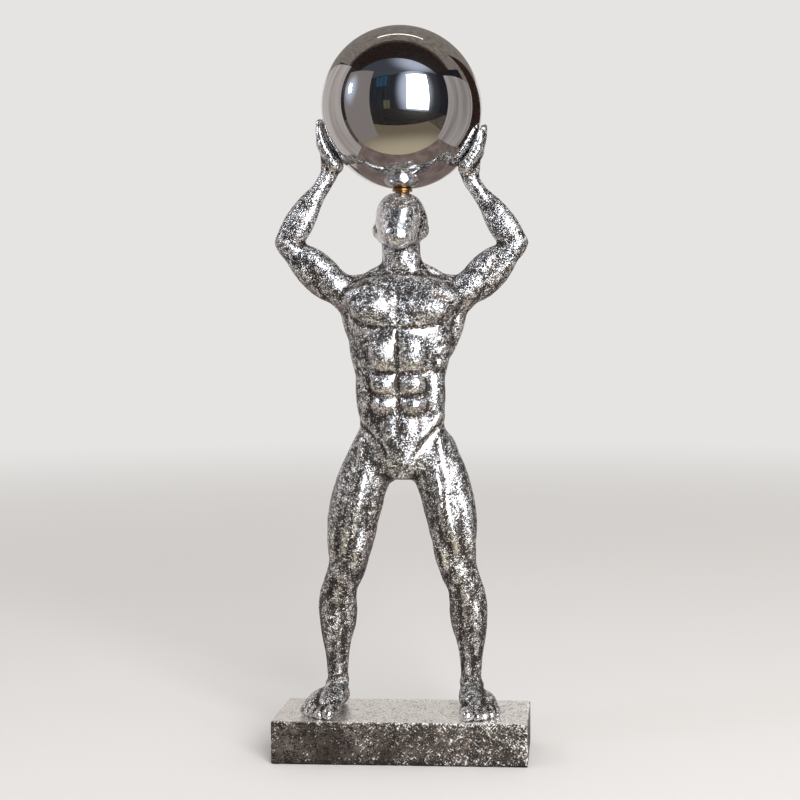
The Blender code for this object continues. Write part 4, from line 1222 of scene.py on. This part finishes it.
class STATUE_OT_stage(bpy.types.Operator):
    """Sets the floor, the lights, the cards and the camera"""

    bl_idname = "statue.stage"
    bl_label = "Stage"

    def execute(self, context):
        scene = context.scene
        settings = scene.statue_stage
        bm = bmesh.new()
        bmesh.ops.create_circle(bm, cap_ends=True, segments=ROUND_SIDES, radius=FLOOR_RADIUS)
        mesh = mesh_from(bm, "floor")
        # Far off, the floor's paint fades into the light of the surroundings, as on a curved backdrop
        floor, tree, shader = new_material("matt painted floor")
        place = node(tree, "ShaderNodeTexCoord", "Object")
        away = node(tree, "ShaderNodeVectorMath", "Value", {0: place}, operation="LENGTH")
        inputs = {"Value": away, "From Min": FLOOR_FADE[0], "From Max": FLOOR_FADE[1]}
        far = node(tree, "ShaderNodeMapRange", "Result", inputs, interpolation_type="SMOOTHSTEP")
        inputs = {"Factor": far, MIX_A: (*settings.floor, 1), MIX_B: (0, 0, 0, 1)}
        paint = node(tree, "ShaderNodeMix", MIX_RESULT, inputs, data_type="RGBA")
        light = node(tree, "ShaderNodeMapRange", "Result", {"Value": far, "To Max": BACKDROP_STRENGTH})
        feed(tree, shader, {"Base Color": paint, "Roughness": 1.0, "Specular IOR Level": 0.0})
        feed(tree, shader, {"Emission Color": (*settings.backdrop, 1), "Emission Strength": light})
        mesh.materials.append(floor)
        new_object("floor", mesh)

        world = bpy.data.worlds.new("pale studio")
        world.use_nodes = True
        tree = world.node_tree
        surroundings = {"Color": (*settings.backdrop, 1), "Strength": BACKDROP_STRENGTH}
        feed(tree, tree.nodes["Background"], surroundings)
        scene.world = world
        scene.view_settings.view_transform = "Standard"

        for name, place, facing_height, wide, tall, part, shade in SOFTBOXES:
            softbox(name, place, facing_height, wide, tall, settings.window * part, shade)
        for name, start, end, low, high, shade in SCREENS:
            along = (end[0] - start[0], end[1] - start[1], 0)
            card(name, (*start, low), along, (0, 0, high - low), glow(name, shade, 1.0))
        for name, low, high, height, shade, strength in LEVELS:
            wide = (high[0] - low[0], 0, 0)
            card(name, (*low, height), wide, (0, high[1] - low[1], 0), glow(name, shade, strength))
        for name, corner, along, up, *light in GLOWS:
            card(name, corner, along, up, round_glow(name, *light))

        camera = bpy.data.cameras.new("camera")
        camera.lens = CAMERA_LENS
        camera.sensor_width = CAMERA_SENSOR
        camera.shift_x = CAMERA_SHIFT
        camera.clip_start = CAMERA_CLIP
        level = math.cos(CAMERA_PITCH)
        ahead = Vector((-math.sin(CAMERA_YAW) * level, math.cos(CAMERA_YAW) * level, -math.sin(CAMERA_PITCH)))
        scene.camera = new_object("camera", camera)
        aim(scene.camera, CAMERA_PLACE, ahead)
        return {"FINISHED"}


class STATUE_PT_sidebar(bpy.types.Panel):
    """Lists the statue's pieces and their settings"""

    bl_label = "Strongman statue"
    bl_idname = "STATUE_PT_sidebar"
    bl_space_type = "VIEW_3D"
    bl_region_type = "UI"
    bl_category = "Statue"

    def draw(self, context):
        for operators, group in PANEL_ROWS:
            box = self.layout.box()
            for operator in operators:
                box.operator(operator.bl_idname)
            settings = getattr(context.scene, group)
            for name in settings.__annotations__:
                box.prop(settings, name)


GROUPS = {
    "statue_figure": FigureSettings,
    "statue_plinth": PlinthSettings,
    "statue_ball": BallSettings,
    "statue_stage": StageSettings,
}
OPERATORS = (STATUE_OT_figure, STATUE_OT_plinth, STATUE_OT_collar, STATUE_OT_ball, STATUE_OT_stage)
PANEL_ROWS = (
    ((STATUE_OT_figure,), "statue_figure"),
    ((STATUE_OT_plinth,), "statue_plinth"),
    ((STATUE_OT_collar, STATUE_OT_ball), "statue_ball"),
    ((STATUE_OT_stage,), "statue_stage"),
)


def register():
    for name, group in GROUPS.items():
        bpy.utils.register_class(group)
        setattr(bpy.types.Scene, name, PointerProperty(type=group))
    for operator in OPERATORS:
        bpy.utils.register_class(operator)
    bpy.utils.register_class(STATUE_PT_sidebar)


def unregister():
    bpy.utils.unregister_class(STATUE_PT_sidebar)
    for operator in OPERATORS:
        bpy.utils.unregister_class(operator)
    for name, group in GROUPS.items():
        delattr(bpy.types.Scene, name)
        bpy.utils.unregister_class(group)


def main():
    register()
    bpy.ops.statue.plinth()
    bpy.ops.statue.figure()
    bpy.ops.statue.collar()
    bpy.ops.statue.ball()
    bpy.ops.statue.stage()


if __name__ == "__main__":
    main()
